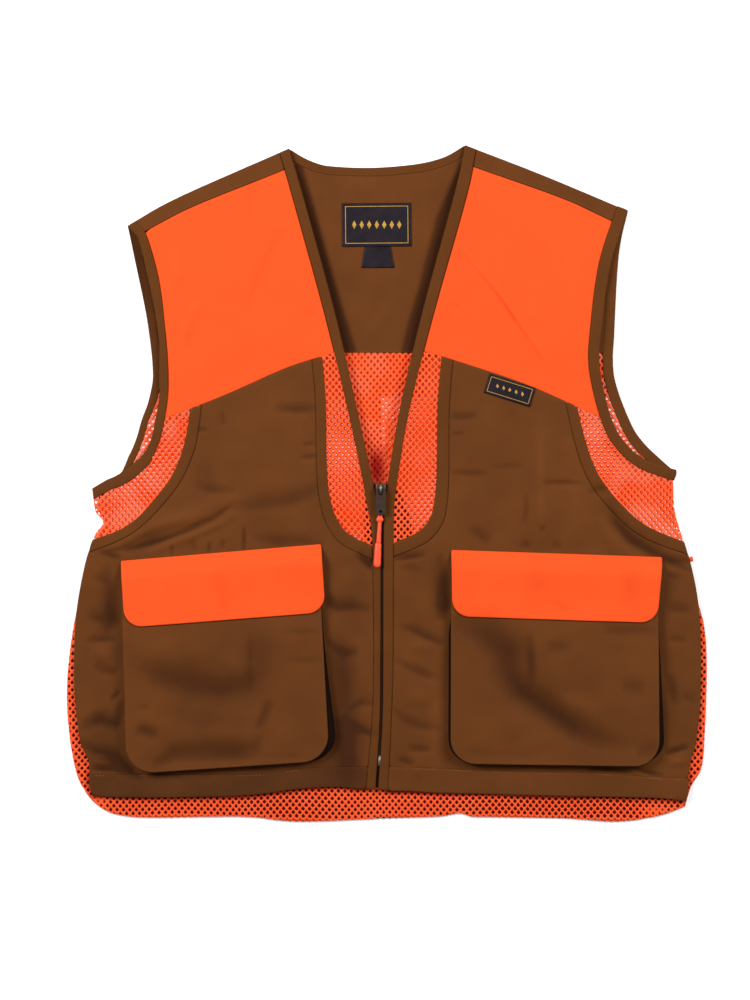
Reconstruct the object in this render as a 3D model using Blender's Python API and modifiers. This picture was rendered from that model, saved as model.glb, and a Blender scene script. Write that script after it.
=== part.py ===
"""A hunting vest laid flat on its back, front up.

Metres, +Z up, +Y towards the neck. Left and right are the viewer's. The origin is under the
middle of the vest, on the surface that it lies on. Every cut piece is a wall of cloth of its own.
All sheets share the lines of one drape grid, so stacked layers never cross: a piece that lies on
another takes the same grid points, moved up.
"""
import math
from collections import namedtuple

import bmesh
import bpy
from mathutils import Vector
from mathutils.geometry import intersect_line_line_2d

# Cloth and layers
CANVAS = 0.0012            # one layer of poly-cotton canvas
NET = 0.0010               # knit mesh
FOLDED = 0.0022            # a binding or hem, folded double
YOKE = 0.0020              # the yoke is cut double
LABEL = 0.0009
GAP = 0.0003               # between any two pieces
BAG_TOP = CANVAS           # game bag layer on the table
BACK_NET_LOW = BAG_TOP + GAP
BACK_TOP = BACK_NET_LOW + NET
BAG_UPPER_EDGE = -0.060    # where the game bag ends under the back mesh
NET_STEP = 0.032           # length over which the back mesh comes down to the table

# The drape grid
CELL = 0.024
FINE_CELL = CELL / 2
CURVE_STEP = 0.017         # spacing of the points on an outline
OVERRUN = 0.014            # how far a seam runs on past its ends, to cross its neighbours
NEAR = 4 * GAP             # an outline has no two points closer than this
SHARPEST = 0.35            # least cosine used where an outline is drawn in at a sharp corner
CUTTER_REACH = 0.1         # half height of the prism that trims a sheet to its outline
WELD = 0.00001             # merge distance where a curve's caps join its sides
ON_LINE = 1e-9             # slack, in cells, for a point that lies on a grid line

# How high the fronts lie above the back
BODY_LIFT = 0.0005
POCKET_DEPTH = 0.0090      # bellows of the pocket bags
POCKET_CROWN = 0.0016      # how much a pocket's face swells between its edges
GUSSET_WALL = 0.0014
GUSSET_SEAT = 0.0006       # clearance of the gusset on the front and under the face
GUSSET_INSET = 0.0012      # the gusset is sewn this far inside the face's edge
FLAP = 0.0018
FLAP_RISE = 0.0195         # the flap climbs from its seam onto the pocket over this length
FACE_EDGE = 0.045          # a pocket's face is level along its edges and swells this far in
MOUTH_FLARE = 0.25         # share of the gusset's bulge at the pocket's mouth
MOUTH_LENGTH = 0.060       # length over which the bulge grows below the mouth

# Widths of bindings and strips
BACK_BIND = 0.0085
ZIP_TAPE_HALF = 0.012
ZIP_TAPE = 0.0009
ZIP_CHAIN_HALF = 0.0009
ZIP_CHAIN = 0.0016

# Zip slider and pull, as wide, long and thick
SLIDER_AT = (-0.0060, -0.0052)
SLIDER_SIZE = (0.0106, 0.0120, 0.0022)
SLIDER_NECK = (0.0064, 0.0104)
SLIDER_BEVEL = 0.0008
CROWN_REACH = 0.0031       # half length of the bridge that holds the tab
CROWN_WIRE = 0.0007
CROWN_HEIGHT = 0.0036
HINGE_RISE = 0.0015        # height of the tab's axis over the slider's plate
TAB_SIZE = (0.0098, 0.0268, 0.0012)
TAB_HEAD = 0.0008          # the tab's end above its axis
TAB_RADIUS = 0.0022
TAB_TILT = math.radians(5.0)
TAB_SLOT = (0.0046, 0.0058)
TAB_SLOT_RADIUS = 0.0010
TAB_HOLE = (0.0036, 0.0036)
TAB_HOLE_RADIUS = 0.0017
TAB_HOLE_AT = -0.0228      # the hole's centre from the axis
KNOT_SIZE = (0.0070, 0.0080, 0.0044)
KNOT_AT = (-0.0073, -0.0357)
CORD_RADIUS = 0.0017
CORD_END = (-0.0090, -0.0582)
GRIP_SIZE = (0.0087, 0.0255, 0.0050)
GRIP_BEVEL = 0.0021
GRIP_AT = (-0.0094, -0.0713)
PULL_SEAT = 0.0006         # the pull lies this far over the bindings

# Labels, with the turn in degrees as the third number of their place
NECK_LABEL_SIZE = (0.0690, 0.0435)
NECK_LABEL_AT = (-0.0100, 0.2585, 0.5)
SIZE_TAB_SIZE = (0.0290, 0.0210)
SIZE_TAB_AT = (-0.0085, 0.2260, 0.0)
CHEST_LABEL_SIZE = (0.0480, 0.0200)
CHEST_LABEL_AT = (0.1228, 0.0930, -17.4)
SIDE_LOOP_SIZE = (0.0034, 0.0050)
SIDE_LOOP_AT = (0.3041, -0.0755, 12.0)

Place = namedtuple("Place", "x y")
Edge = namedtuple("Edge", "x y width")
Fold = namedtuple("Fold", "x0 y0 x1 y1 width height")
Pocket = namedtuple("Pocket", "corners radius flares flap flap_radius dents")
Finish = namedtuple("Finish", "colour roughness metallic")

# Shoulder line, neck edge and the seams across: one row for each place that shapes the curve
SHOULDER = {
    "left": [Place(-0.2588, 0.2575), Place(-0.2088, 0.2855), Place(-0.0978, 0.3345)],
    "right": [Place(0.2402, 0.2725), Place(0.1593, 0.3065), Place(0.0783, 0.3380)],
}
CHEST_TOP = {
    "left": [Place(-0.2398, 0.2525), Place(-0.1928, 0.2765), Place(-0.1008, 0.3135)],
    "right": [Place(0.2222, 0.2630), Place(0.1753, 0.2845), Place(0.0883, 0.3155)],
}
CHEST_LOW = {
    "left": [Place(-0.2188, 0.0655), Place(-0.1608, 0.0885), Place(-0.0968, 0.1165),
             Place(-0.0488, 0.1305)],
    "right": [Place(0.2093, 0.0675), Place(0.1433, 0.0970), Place(0.0793, 0.1190),
              Place(0.0373, 0.1315)],
}
BACK_NECK = [
    Place(-0.0978, 0.3345), Place(-0.0808, 0.3245), Place(-0.0628, 0.3180),
    Place(-0.0168, 0.3155), Place(0.0313, 0.3195), Place(0.0593, 0.3270),
    Place(0.0783, 0.3380),
]
YOKE_LOW = [Place(-0.2500, 0.1305), Place(0.2450, 0.1305)]

# Free edge of each front, from the shoulder down the V and the zip to the hem
FRONT_EDGE = {
    "left": [Edge(-0.0978, 0.3345, 0.0100), Edge(-0.0848, 0.2915, 0.0105),
             Edge(-0.0518, 0.1715, 0.0105), Edge(-0.0298, 0.0755, 0.0095),
             Edge(-0.0140, 0.0035, 0.0100), Edge(-0.0085, -0.0200, 0.0115),
             Edge(-0.0061, -0.0600, 0.0085), Edge(-0.0062, -0.1800, 0.0070),
             Edge(-0.0072, -0.2415, 0.0080), Edge(-0.0112, -0.3035, 0.0095)],
    "right": [Edge(0.0783, 0.3380, 0.0115), Edge(0.0680, 0.2915, 0.0125),
              Edge(0.0355, 0.1715, 0.0115), Edge(0.0130, 0.0755, 0.0098),
              Edge(0.0010, 0.0035, 0.0095), Edge(-0.0028, -0.0200, 0.0105),
              Edge(-0.0036, -0.0600, 0.0105), Edge(-0.0037, -0.1800, 0.0100),
              Edge(-0.0047, -0.2415, 0.0090), Edge(-0.0087, -0.3040, 0.0100)],
}
# Armhole of each front, from the shoulder tip to the side
FRONT_ARM = {
    "left": [Edge(-0.2588, 0.2575, 0.0098), Edge(-0.2428, 0.2195, 0.0098),
             Edge(-0.2322, 0.1595, 0.0100), Edge(-0.2278, 0.0995, 0.0096),
             Edge(-0.2348, 0.0515, 0.0095), Edge(-0.2463, 0.0275, 0.0095),
             Edge(-0.2658, 0.0105, 0.0095), Edge(-0.2948, -0.0055, 0.0100)],
    "right": [Edge(0.2402, 0.2725, 0.0105), Edge(0.2229, 0.2175, 0.0110),
              Edge(0.2133, 0.1475, 0.0105), Edge(0.2127, 0.1115, 0.0100),
              Edge(0.2243, 0.0635, 0.0095), Edge(0.2383, 0.0395, 0.0095),
              Edge(0.2570, 0.0240, 0.0095), Edge(0.2893, 0.0125, 0.0100)],
}
BACK_ARM = {
    "left": [Edge(-0.2588, 0.2575, BACK_BIND), Edge(-0.2508, 0.2195, BACK_BIND),
             Edge(-0.2388, 0.1595, BACK_BIND), Edge(-0.2338, 0.1015, BACK_BIND),
             Edge(-0.2448, 0.0635, BACK_BIND), Edge(-0.2578, 0.0275, BACK_BIND),
             Edge(-0.2900, -0.0085, BACK_BIND)],
    "right": [Edge(0.2402, 0.2725, BACK_BIND), Edge(0.2310, 0.2285, BACK_BIND),
              Edge(0.2263, 0.1475, BACK_BIND), Edge(0.2262, 0.1075, BACK_BIND),
              Edge(0.2413, 0.0635, BACK_BIND), Edge(0.2563, 0.0395, BACK_BIND),
              Edge(0.2870, 0.0110, BACK_BIND)],
}
# Brown strip along the underarm mesh, from the chest seam to the side
ARM_STRIP = {
    "left": [Edge(-0.1965, 0.0735, 0.0110), Edge(-0.2023, 0.0395, 0.0115),
             Edge(-0.2173, 0.0035, 0.0105), Edge(-0.2473, -0.0325, 0.0095),
             Edge(-0.2700, -0.0475, 0.0100), Edge(-0.2938, -0.0560, 0.0110)],
    "right": [Edge(0.1903, 0.0760, 0.0105), Edge(0.1993, 0.0395, 0.0110),
              Edge(0.2143, 0.0035, 0.0115), Edge(0.2463, -0.0325, 0.0118),
              Edge(0.2700, -0.0475, 0.0118), Edge(0.2963, -0.0575, 0.0115)],
}
# Brown strip round the mesh panel beside the zip, from the chest seam to the placket
CENTRE_STRIP = {
    "left": [Edge(-0.0645, 0.1265, 0.0105), Edge(-0.0610, 0.0835, 0.0105),
             Edge(-0.0590, 0.0035, 0.0105), Edge(-0.0512, -0.0325, 0.0115),
             Edge(-0.0402, -0.0485, 0.0125), Edge(-0.0180, -0.0600, 0.0130)],
    "right": [Edge(0.0545, 0.1265, 0.0120), Edge(0.0505, 0.0755, 0.0120),
              Edge(0.0493, 0.0035, 0.0125), Edge(0.0440, -0.0325, 0.0135),
              Edge(0.0330, -0.0470, 0.0135), Edge(0.0080, -0.0590, 0.0130)],
}
# Middle of the zip, from under the slider to the hem
ZIP_LINE = [Place(-0.0060, -0.0030), Place(-0.0055, -0.0220), Place(-0.0049, -0.0600),
            Place(-0.0050, -0.1800), Place(-0.0060, -0.2415), Place(-0.0098, -0.3010)]
# Side edge of each front, from the armhole to the hem
FRONT_SIDE = {
    "left": [Place(-0.2945, -0.0020), Place(-0.2925, -0.0200), Place(-0.2880, -0.0440),
             Place(-0.2945, -0.0580), Place(-0.3035, -0.0925), Place(-0.3108, -0.1405),
             Place(-0.3118, -0.2065), Place(-0.3055, -0.2595), Place(-0.2970, -0.2790),
             Place(-0.2972, -0.3000), Place(-0.2938, -0.3150)],
    "right": [Place(0.2860, 0.0160), Place(0.2865, -0.0110), Place(0.2885, -0.0320),
              Place(0.2970, -0.0580), Place(0.3053, -0.0885), Place(0.3115, -0.1250),
              Place(0.3133, -0.1750), Place(0.3113, -0.2245), Place(0.3063, -0.2635),
              Place(0.3020, -0.2780), Place(0.2982, -0.3190)],
}
HEM_TOP = {
    "left": [Place(-0.2968, -0.2905), Place(-0.1500, -0.2905), Place(-0.1098, -0.2880),
             Place(-0.0750, -0.2835), Place(-0.0150, -0.2830)],
    "right": [Place(0.3015, -0.2945), Place(0.2533, -0.2925), Place(0.2100, -0.2890),
              Place(0.1130, -0.2870), Place(0.0010, -0.2825)],
}
HEM_LOW = {
    "left": [Place(-0.2938, -0.3120), Place(-0.2398, -0.3135), Place(-0.1428, -0.3115),
             Place(-0.0928, -0.3055), Place(-0.0558, -0.3031), Place(-0.0098, -0.3038)],
    "right": [Place(0.2983, -0.3172), Place(0.2663, -0.3140), Place(0.1583, -0.3115),
              Place(0.0453, -0.3085), Place(-0.0068, -0.3042)],
}
# Edge of the back below the armholes: down the left side, along the hem, up the right side
BACK_ROUND = [
    Place(-0.2895, 0.0000), Place(-0.2850, -0.0440), Place(-0.2960, -0.0800),
    Place(-0.3068, -0.1135), Place(-0.3148, -0.1525), Place(-0.3196, -0.2015),
    Place(-0.3175, -0.2500), Place(-0.3081, -0.2955), Place(-0.2908, -0.3205),
    Place(-0.2738, -0.3300), Place(-0.2348, -0.3340), Place(-0.1448, -0.3330),
    Place(-0.0908, -0.3380), Place(-0.0188, -0.3355), Place(0.0563, -0.3325),
    Place(0.0733, -0.3292), Place(0.0833, -0.3328), Place(0.1813, -0.3350),
    Place(0.2312, -0.3380), Place(0.2763, -0.3311), Place(0.2982, -0.3230),
    Place(0.3043, -0.3030), Place(0.3143, -0.2855), Place(0.3178, -0.2540),
    Place(0.3200, -0.1845), Place(0.3170, -0.1395), Place(0.3060, -0.1050),
    Place(0.2940, -0.0700), Place(0.2850, -0.0320), Place(0.2840, 0.0120),
]
BAG_INSET = 0.0035         # the game bag ends this far inside the back mesh

# Soft ridges of the fronts over the back
FOLDS = [
    Fold(-0.0860, 0.2800, -0.0220, 0.0200, 0.026, 0.0046),
    Fold(0.0700, 0.2800, 0.0060, 0.0200, 0.026, 0.0046),
    Fold(-0.0070, 0.0100, -0.0060, -0.2500, 0.022, 0.0034),
    Fold(-0.0070, -0.2500, -0.0100, -0.3000, 0.022, 0.0030),
    Fold(-0.0560, -0.0900, -0.0520, -0.2500, 0.016, 0.0012),
    Fold(0.0560, -0.0900, 0.0540, -0.2500, 0.016, 0.0012),
    Fold(-0.2860, -0.0760, -0.2150, -0.0330, 0.016, 0.0026),
    Fold(-0.2980, -0.1050, -0.2800, -0.1020, 0.016, 0.0020),
    Fold(-0.3000, -0.2580, -0.2780, -0.2640, 0.015, 0.0024),
    Fold(0.2880, -0.2300, 0.3000, -0.2450, 0.016, 0.0018),
    Fold(0.1000, 0.2250, 0.1650, 0.1350, 0.016, 0.0020),
    Fold(0.1550, 0.2450, 0.2000, 0.1700, 0.016, 0.0014),
    Fold(-0.1900, 0.2250, -0.1350, 0.1500, 0.018, 0.0016),
    Fold(-0.1500, 0.0400, -0.1100, -0.0300, 0.022, 0.0018),
    Fold(0.1200, 0.0500, 0.1500, -0.0350, 0.022, 0.0018),
    Fold(-0.2000, -0.3030, -0.1300, -0.3030, 0.020, 0.0014),
    Fold(0.1500, -0.3000, 0.2400, -0.3030, 0.020, 0.0016),
]

# Pocket bags and flaps: corners run top left, top right, bottom right, bottom left
POCKETS = {
    "left": Pocket(
        corners=[Place(-0.2640, -0.1115), Place(-0.0668, -0.0955),
                 Place(-0.0570, -0.2760), Place(-0.2590, -0.2895)],
        radius=0.027, flares=(0.0030, 0.0035, 0.0085),
        flap=[Place(-0.2654, -0.0772), Place(-0.0654, -0.0605),
              Place(-0.0610, -0.1284), Place(-0.2608, -0.1438)],
        flap_radius=0.018,
        dents=[Fold(-0.2300, -0.1960, -0.1500, -0.2120, 0.020, -0.0026),
               Fold(-0.1250, -0.2180, -0.1200, -0.2420, 0.018, -0.0018)]),
    "right": Pocket(
        corners=[Place(0.0640, -0.1010), Place(0.2705, -0.1080),
                 Place(0.2715, -0.2820), Place(0.0635, -0.2790)],
        radius=0.025, flares=(0.0045, 0.0035, 0.0060),
        flap=[Place(0.0643, -0.0662), Place(0.2753, -0.0735),
              Place(0.2690, -0.1390), Place(0.0652, -0.1324)],
        flap_radius=0.018,
        dents=[Fold(0.1180, -0.2040, 0.1500, -0.2160, 0.018, -0.0016),
               Fold(0.1500, -0.2160, 0.2020, -0.2480, 0.020, -0.0028)]),
}
CORNER_SMALL = 0.002

# Side of travel that is the cloth's, going down an edge
INWARD = {"left": {"edge": -1.0, "arm": 1.0}, "right": {"edge": 1.0, "arm": -1.0}}

FINISHES = {
    "brown_canvas": Finish((0.150, 0.048, 0.015), 0.75, 0.0),
    "brown_binding": Finish((0.120, 0.038, 0.012), 0.80, 0.0),
    "blaze_cloth": Finish((1.000, 0.115, 0.021), 0.65, 0.0),
    "blaze_net": Finish((1.000, 0.130, 0.035), 0.70, 0.0),
    "bag_lining": Finish((0.070, 0.010, 0.008), 0.80, 0.0),
    "woven_label": Finish((0.012, 0.008, 0.014), 0.55, 0.0),
    "gunmetal": Finish((0.060, 0.055, 0.050), 0.35, 0.9),
    "zip_coil": Finish((0.020, 0.014, 0.012), 0.50, 0.0),
    "orange_rubber": Finish((1.000, 0.110, 0.025), 0.45, 0.0),
}


def clear_scene():
    for obj in list(bpy.data.objects):
        bpy.data.objects.remove(obj, do_unlink=True)


def new_collection(name):
    collection = bpy.data.collections.new(name)
    bpy.context.scene.collection.children.link(collection)
    return collection


def material(name):
    """The named material, made once."""
    if name in bpy.data.materials:
        return bpy.data.materials[name]
    finish = FINISHES[name]
    made = bpy.data.materials.new(name)
    made.use_nodes = True
    shader = made.node_tree.nodes["Principled BSDF"]
    shader.inputs["Base Color"].default_value = (*finish.colour, 1.0)
    shader.inputs["Roughness"].default_value = finish.roughness
    shader.inputs["Metallic"].default_value = finish.metallic
    return made


def smooth(rows, overrun=OVERRUN):
    """Points about a step apart on a smooth curve through the rows, run on past both ends."""
    knots = [Vector(row) if len(row) == 3 else Vector((*row, 0.0)) for row in rows]
    first = knots[0] * 2 - knots[1]
    last = knots[-1] * 2 - knots[-2]
    knots = [first, *knots, last]
    points = []
    for before, start, end, after in zip(knots, knots[1:], knots[2:], knots[3:]):
        pieces = max(1, round((end - start).to_2d().length / CURVE_STEP))
        for k in range(pieces):
            t = k / pieces
            points.append(catmull_rom(before, start, end, after, t))
    points.append(knots[-2])
    if overrun:
        head = (points[0] - points[1]).to_2d().normalized() * overrun
        tail = (points[-1] - points[-2]).to_2d().normalized() * overrun
        points.insert(0, points[0] + Vector((*head, 0.0)))
        points.append(points[-1] + Vector((*tail, 0.0)))
    return points


def catmull_rom(before, start, end, after, t):
    return 0.5 * (2 * start + (end - before) * t
                  + (2 * before - 5 * start + 4 * end - after) * t * t
                  + (3 * start - before - 3 * end + after) * t ** 3)


def flat(points):
    return [point.to_2d() for point in points]


def normals(points, closed=False):
    """Unit normals to the left of the way along the points."""
    found = []
    count = len(points)
    for k in range(count):
        if closed:
            before, after = points[k - 1], points[(k + 1) % count]
        else:
            before, after = points[max(k - 1, 0)], points[min(k + 1, count - 1)]
        way = (after - before).to_2d().normalized()
        found.append(Vector((-way.y, way.x)))
    return found


def offset(points, side):
    """The other edge of a strip whose width is the third number of each point."""
    return [point.to_2d() + normal * (side * point.z)
            for point, normal in zip(points, normals(points))]


def crossing(first, second):
    """Place along each of two curves where they cross, and the point."""
    for i, (a, b) in enumerate(zip(first, first[1:])):
        for j, (c, d) in enumerate(zip(second, second[1:])):
            point = intersect_line_line_2d(a, b, c, d)
            if point is not None:
                along = (point - a).length / (b - a).length
                across = (point - c).length / (d - c).length
                return i + along, j + across, point
    raise ValueError("two seams that should meet do not cross")


def outline(*curves):
    """Closed outline from curves that cross in turn, each kept between its two crossings."""
    count = len(curves)
    hits = [crossing(curves[k], curves[(k + 1) % count]) for k in range(count)]
    points = []
    for k, curve in enumerate(curves):
        start = hits[k - 1][1]
        end = hits[k][0]
        points.append(hits[k - 1][2])
        if start < end:
            kept = range(math.floor(start) + 1, math.floor(end) + 1)
        else:
            kept = range(math.floor(start), math.floor(end), -1)
        points += [curve[n] for n in kept]
    return tidy(points)


def tidy(points):
    """The outline counter-clockwise, with no two points close together."""
    kept = []
    for point in points:
        if not kept or (point - kept[-1]).length > NEAR:
            kept.append(point)
    if (kept[0] - kept[-1]).length <= NEAR:
        kept.pop()
    area = sum(a.x * b.y - b.x * a.y for a, b in zip(kept, kept[1:] + kept[:1]))
    return kept if area > 0 else kept[::-1]


def inset(points, distance=GAP / 2):
    """A counter-clockwise outline drawn in by a distance all round."""
    drawn = []
    count = len(points)
    for k in range(count):
        into = (points[k] - points[k - 1]).normalized()
        out = (points[(k + 1) % count] - points[k]).normalized()
        bisector = Vector((-into.y - out.y, into.x + out.x)).normalized()
        share = max(SHARPEST, bisector.dot(Vector((-into.y, into.x))))
        drawn.append(points[k] + bisector * (distance / share))
    return drawn


def rounded(corners, radii, steps=5):
    """Closed outline through corners, each cut by an arc of its radius."""
    points = []
    count = len(corners)
    for k in range(count):
        corner = Vector(corners[k])
        towards = (Vector(corners[k - 1]) - corner).normalized()
        away = (Vector(corners[(k + 1) % count]) - corner).normalized()
        half = towards.angle(away) / 2
        reach = radii[k] / math.tan(half)
        centre = corner + (towards + away).normalized() * (radii[k] / math.sin(half))
        start = corner + towards * reach - centre
        end = corner + away * reach - centre
        turn = start.angle_signed(end)
        for n in range(steps + 1):
            angle = -turn * n / steps
            points.append(centre + Vector((
                start.x * math.cos(angle) - start.y * math.sin(angle),
                start.x * math.sin(angle) + start.y * math.cos(angle))))
    return tidy(points)


def smoothstep(t):
    t = min(1.0, max(0.0, t))
    return t * t * (3 - 2 * t)


def ridge(fold, x, y):
    """Height of one soft ridge or dent at a place."""
    start = Vector((fold.x0, fold.y0))
    way = Vector((fold.x1, fold.y1)) - start
    share = (Vector((x, y)) - start).dot(way) / way.length_squared
    near = start + way * min(1.0, max(0.0, share))
    far = (Vector((x, y)) - near).length / fold.width
    return fold.height * math.exp(-far * far)


def on_grid(height, x, y):
    """Height of a sheet that is straight between the drape grid's points."""
    i = math.floor(x / CELL + ON_LINE)
    j = math.floor(y / CELL + ON_LINE)
    u = x / CELL - i
    v = y / CELL - j
    corner = height(i * CELL, j * CELL)
    far = height((i + 1) * CELL, (j + 1) * CELL)
    if u >= v:
        side = height((i + 1) * CELL, j * CELL)
        return corner + u * (side - corner) + v * (far - side)
    side = height(i * CELL, (j + 1) * CELL)
    return corner + v * (side - corner) + u * (far - side)


def back_net_low(x, y):
    return BACK_NET_LOW * smoothstep((BAG_UPPER_EDGE + NET_STEP - y) / NET_STEP + 0.5)


def front_low_at_points(x, y):
    return BACK_TOP + GAP + BODY_LIFT + sum(ridge(fold, x, y) for fold in FOLDS)


def front_low(x, y):
    return on_grid(front_low_at_points, x, y)


def above(base, rise):
    """A height function a fixed rise over another."""
    return lambda x, y: base(x, y) + rise


def link(obj, collection, slot):
    obj.data.materials.clear()
    obj.data.materials.append(material(slot))
    for other in list(obj.users_collection):
        other.objects.unlink(obj)
    collection.objects.link(obj)
    return obj


def filled_outline(name, outlines, half):
    """Flat curve object, filled and extruded by half its thickness each way."""
    curve = bpy.data.curves.new(name, "CURVE")
    curve.dimensions = "2D"
    curve.fill_mode = "BOTH"
    curve.extrude = half
    for points in outlines:
        spline = curve.splines.new("POLY")
        spline.points.add(len(points) - 1)
        for target, point in zip(spline.points, points):
            target.co = (point[0], point[1], 0.0, 1.0)
        spline.use_cyclic_u = True
    obj = bpy.data.objects.new(name, curve)
    bpy.context.scene.collection.objects.link(obj)
    return obj


def to_mesh(obj):
    """The curve object as a mesh object of the same name and place, its caps welded on."""
    bpy.context.view_layer.update()
    graph = bpy.context.evaluated_depsgraph_get()
    mesh = bpy.data.meshes.new_from_object(obj.evaluated_get(graph))
    name = obj.name
    matrix = obj.matrix_world.copy()
    bpy.data.objects.remove(obj, do_unlink=True)
    mesh.name = name
    bm = bmesh.new()
    bm.from_mesh(mesh)
    bmesh.ops.remove_doubles(bm, verts=bm.verts, dist=WELD)
    bmesh.ops.recalc_face_normals(bm, faces=bm.faces)
    bm.to_mesh(mesh)
    bm.free()
    made = bpy.data.objects.new(name, mesh)
    bpy.context.scene.collection.objects.link(made)
    made.matrix_world = matrix
    return made


def plate(name, outlines, low, thickness, slot):
    """A flat piece of cloth or metal over an outline, with any holes in it."""
    obj = filled_outline(name, outlines, thickness / 2)
    obj.location.z = low + thickness / 2
    return link(to_mesh(obj), PARTS, slot)


def boolean(obj, cutter, operation):
    modifier = obj.modifiers.new(operation.lower(), "BOOLEAN")
    modifier.operation = operation
    modifier.solver = "EXACT"
    modifier.object = cutter
    cutter.hide_render = True
    cutter.display_type = "WIRE"


def slab(name, points, low, high, slot, cell=CELL):
    """A sheet over an outline on the drape grid, from one height function up to another."""
    first_x = math.floor(min(p.x for p in points) / cell) - 1
    first_y = math.floor(min(p.y for p in points) / cell) - 1
    across = math.ceil(max(p.x for p in points) / cell) + 1 - first_x
    along = math.ceil(max(p.y for p in points) / cell) + 1 - first_y
    bm = bmesh.new()
    bmesh.ops.create_grid(bm, x_segments=across, y_segments=along, size=1.0)
    for vert in bm.verts:
        vert.co.x = (first_x + round((vert.co.x + 1) / 2 * across)) * cell
        vert.co.y = (first_y + round((vert.co.y + 1) / 2 * along)) * cell
        vert.co.z = low(vert.co.x, vert.co.y)
    bmesh.ops.triangulate(bm, faces=bm.faces, quad_method="FIXED")
    made = bmesh.ops.extrude_face_region(bm, geom=bm.faces[:], use_keep_orig=True)
    for vert in (item for item in made["geom"] if isinstance(item, bmesh.types.BMVert)):
        vert.co.z = high(vert.co.x, vert.co.y)
    bmesh.ops.recalc_face_normals(bm, faces=bm.faces)
    mesh = bpy.data.meshes.new(name)
    bm.to_mesh(mesh)
    bm.free()
    obj = bpy.data.objects.new(name, mesh)
    link(obj, PARTS, slot)
    cutter = to_mesh(filled_outline(f"cut_{name}", [points], CUTTER_REACH))
    link(cutter, CUTTERS, slot)
    boolean(obj, cutter, "INTERSECT")
    return obj


def box(name, size, location, bevel=0.0):
    bpy.ops.mesh.primitive_cube_add(size=1.0, location=location)
    obj = bpy.context.active_object
    obj.name = name
    obj.data.name = name
    for vert in obj.data.vertices:
        vert.co = Vector(side * length for side, length in zip(vert.co, size))
    if bevel:
        modifier = obj.modifiers.new("bevel", "BEVEL")
        modifier.width = bevel
        modifier.segments = 2
    return obj


def front_piece(name, points, thickness, slot, low=front_low):
    return slab(name, inset(points), low, above(low, thickness), slot)


def front_seams(side):
    """Every seam and edge of one front, as curves that run on past their ends."""
    edge = smooth(FRONT_EDGE[side])
    arm = smooth(FRONT_ARM[side])
    arm_strip = smooth(ARM_STRIP[side])
    centre_strip = smooth(CENTRE_STRIP[side])
    turn = INWARD[side]
    return {
        "shoulder": flat(smooth(SHOULDER[side])),
        "chest_top": flat(smooth(CHEST_TOP[side])),
        "chest_low": flat(smooth(CHEST_LOW[side])),
        "edge": flat(edge),
        "edge_in": offset(edge, turn["edge"]),
        "arm": flat(arm),
        "arm_in": offset(arm, turn["arm"]),
        "arm_strip": flat(arm_strip),
        "arm_strip_in": offset(arm_strip, turn["arm"]),
        "centre_strip": flat(centre_strip),
        "centre_strip_in": offset(centre_strip, turn["edge"]),
        "side": flat(smooth(FRONT_SIDE[side])),
        "hem_top": flat(smooth(HEM_TOP[side])),
        "hem_low": flat(smooth(HEM_LOW[side])),
    }


def make_front(side):
    s = front_seams(side)
    front_piece(f"shoulder_strip_{side}",
                outline(s["shoulder"], s["edge_in"], s["chest_top"], s["arm_in"]),
                CANVAS, "brown_canvas")
    front_piece(f"chest_panel_{side}",
                outline(s["chest_top"], s["edge_in"], s["chest_low"], s["arm_in"]),
                CANVAS, "blaze_cloth")
    front_piece(f"arm_mesh_{side}",
                outline(s["chest_low"], s["arm_strip"], s["side"], s["arm_in"]),
                NET, "blaze_net")
    front_piece(f"arm_strip_{side}",
                outline(s["chest_low"], s["arm_strip_in"], s["side"], s["arm_strip"]),
                FOLDED, "brown_binding")
    front_piece(f"centre_mesh_{side}",
                outline(s["chest_low"], s["edge_in"], s["centre_strip"]),
                NET, "blaze_net")
    front_piece(f"centre_strip_{side}",
                outline(s["chest_low"], s["centre_strip"], s["edge_in"],
                        s["centre_strip_in"]),
                FOLDED, "brown_binding")
    front_piece(f"lower_front_{side}",
                outline(s["chest_low"], s["centre_strip_in"], s["edge_in"], s["hem_top"],
                        s["side"], s["arm_strip_in"]),
                CANVAS, "brown_canvas")
    front_piece(f"hem_band_{side}",
                outline(s["hem_top"], s["edge_in"], s["hem_low"], s["side"]),
                FOLDED, "brown_canvas")
    front_piece(f"front_binding_{side}",
                outline(s["shoulder"], s["edge"], s["hem_low"], s["edge_in"]),
                FOLDED, "brown_binding")
    front_piece(f"armhole_binding_{side}",
                outline(s["shoulder"], s["arm_in"], s["side"], s["arm"]),
                FOLDED, "brown_binding")


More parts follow.
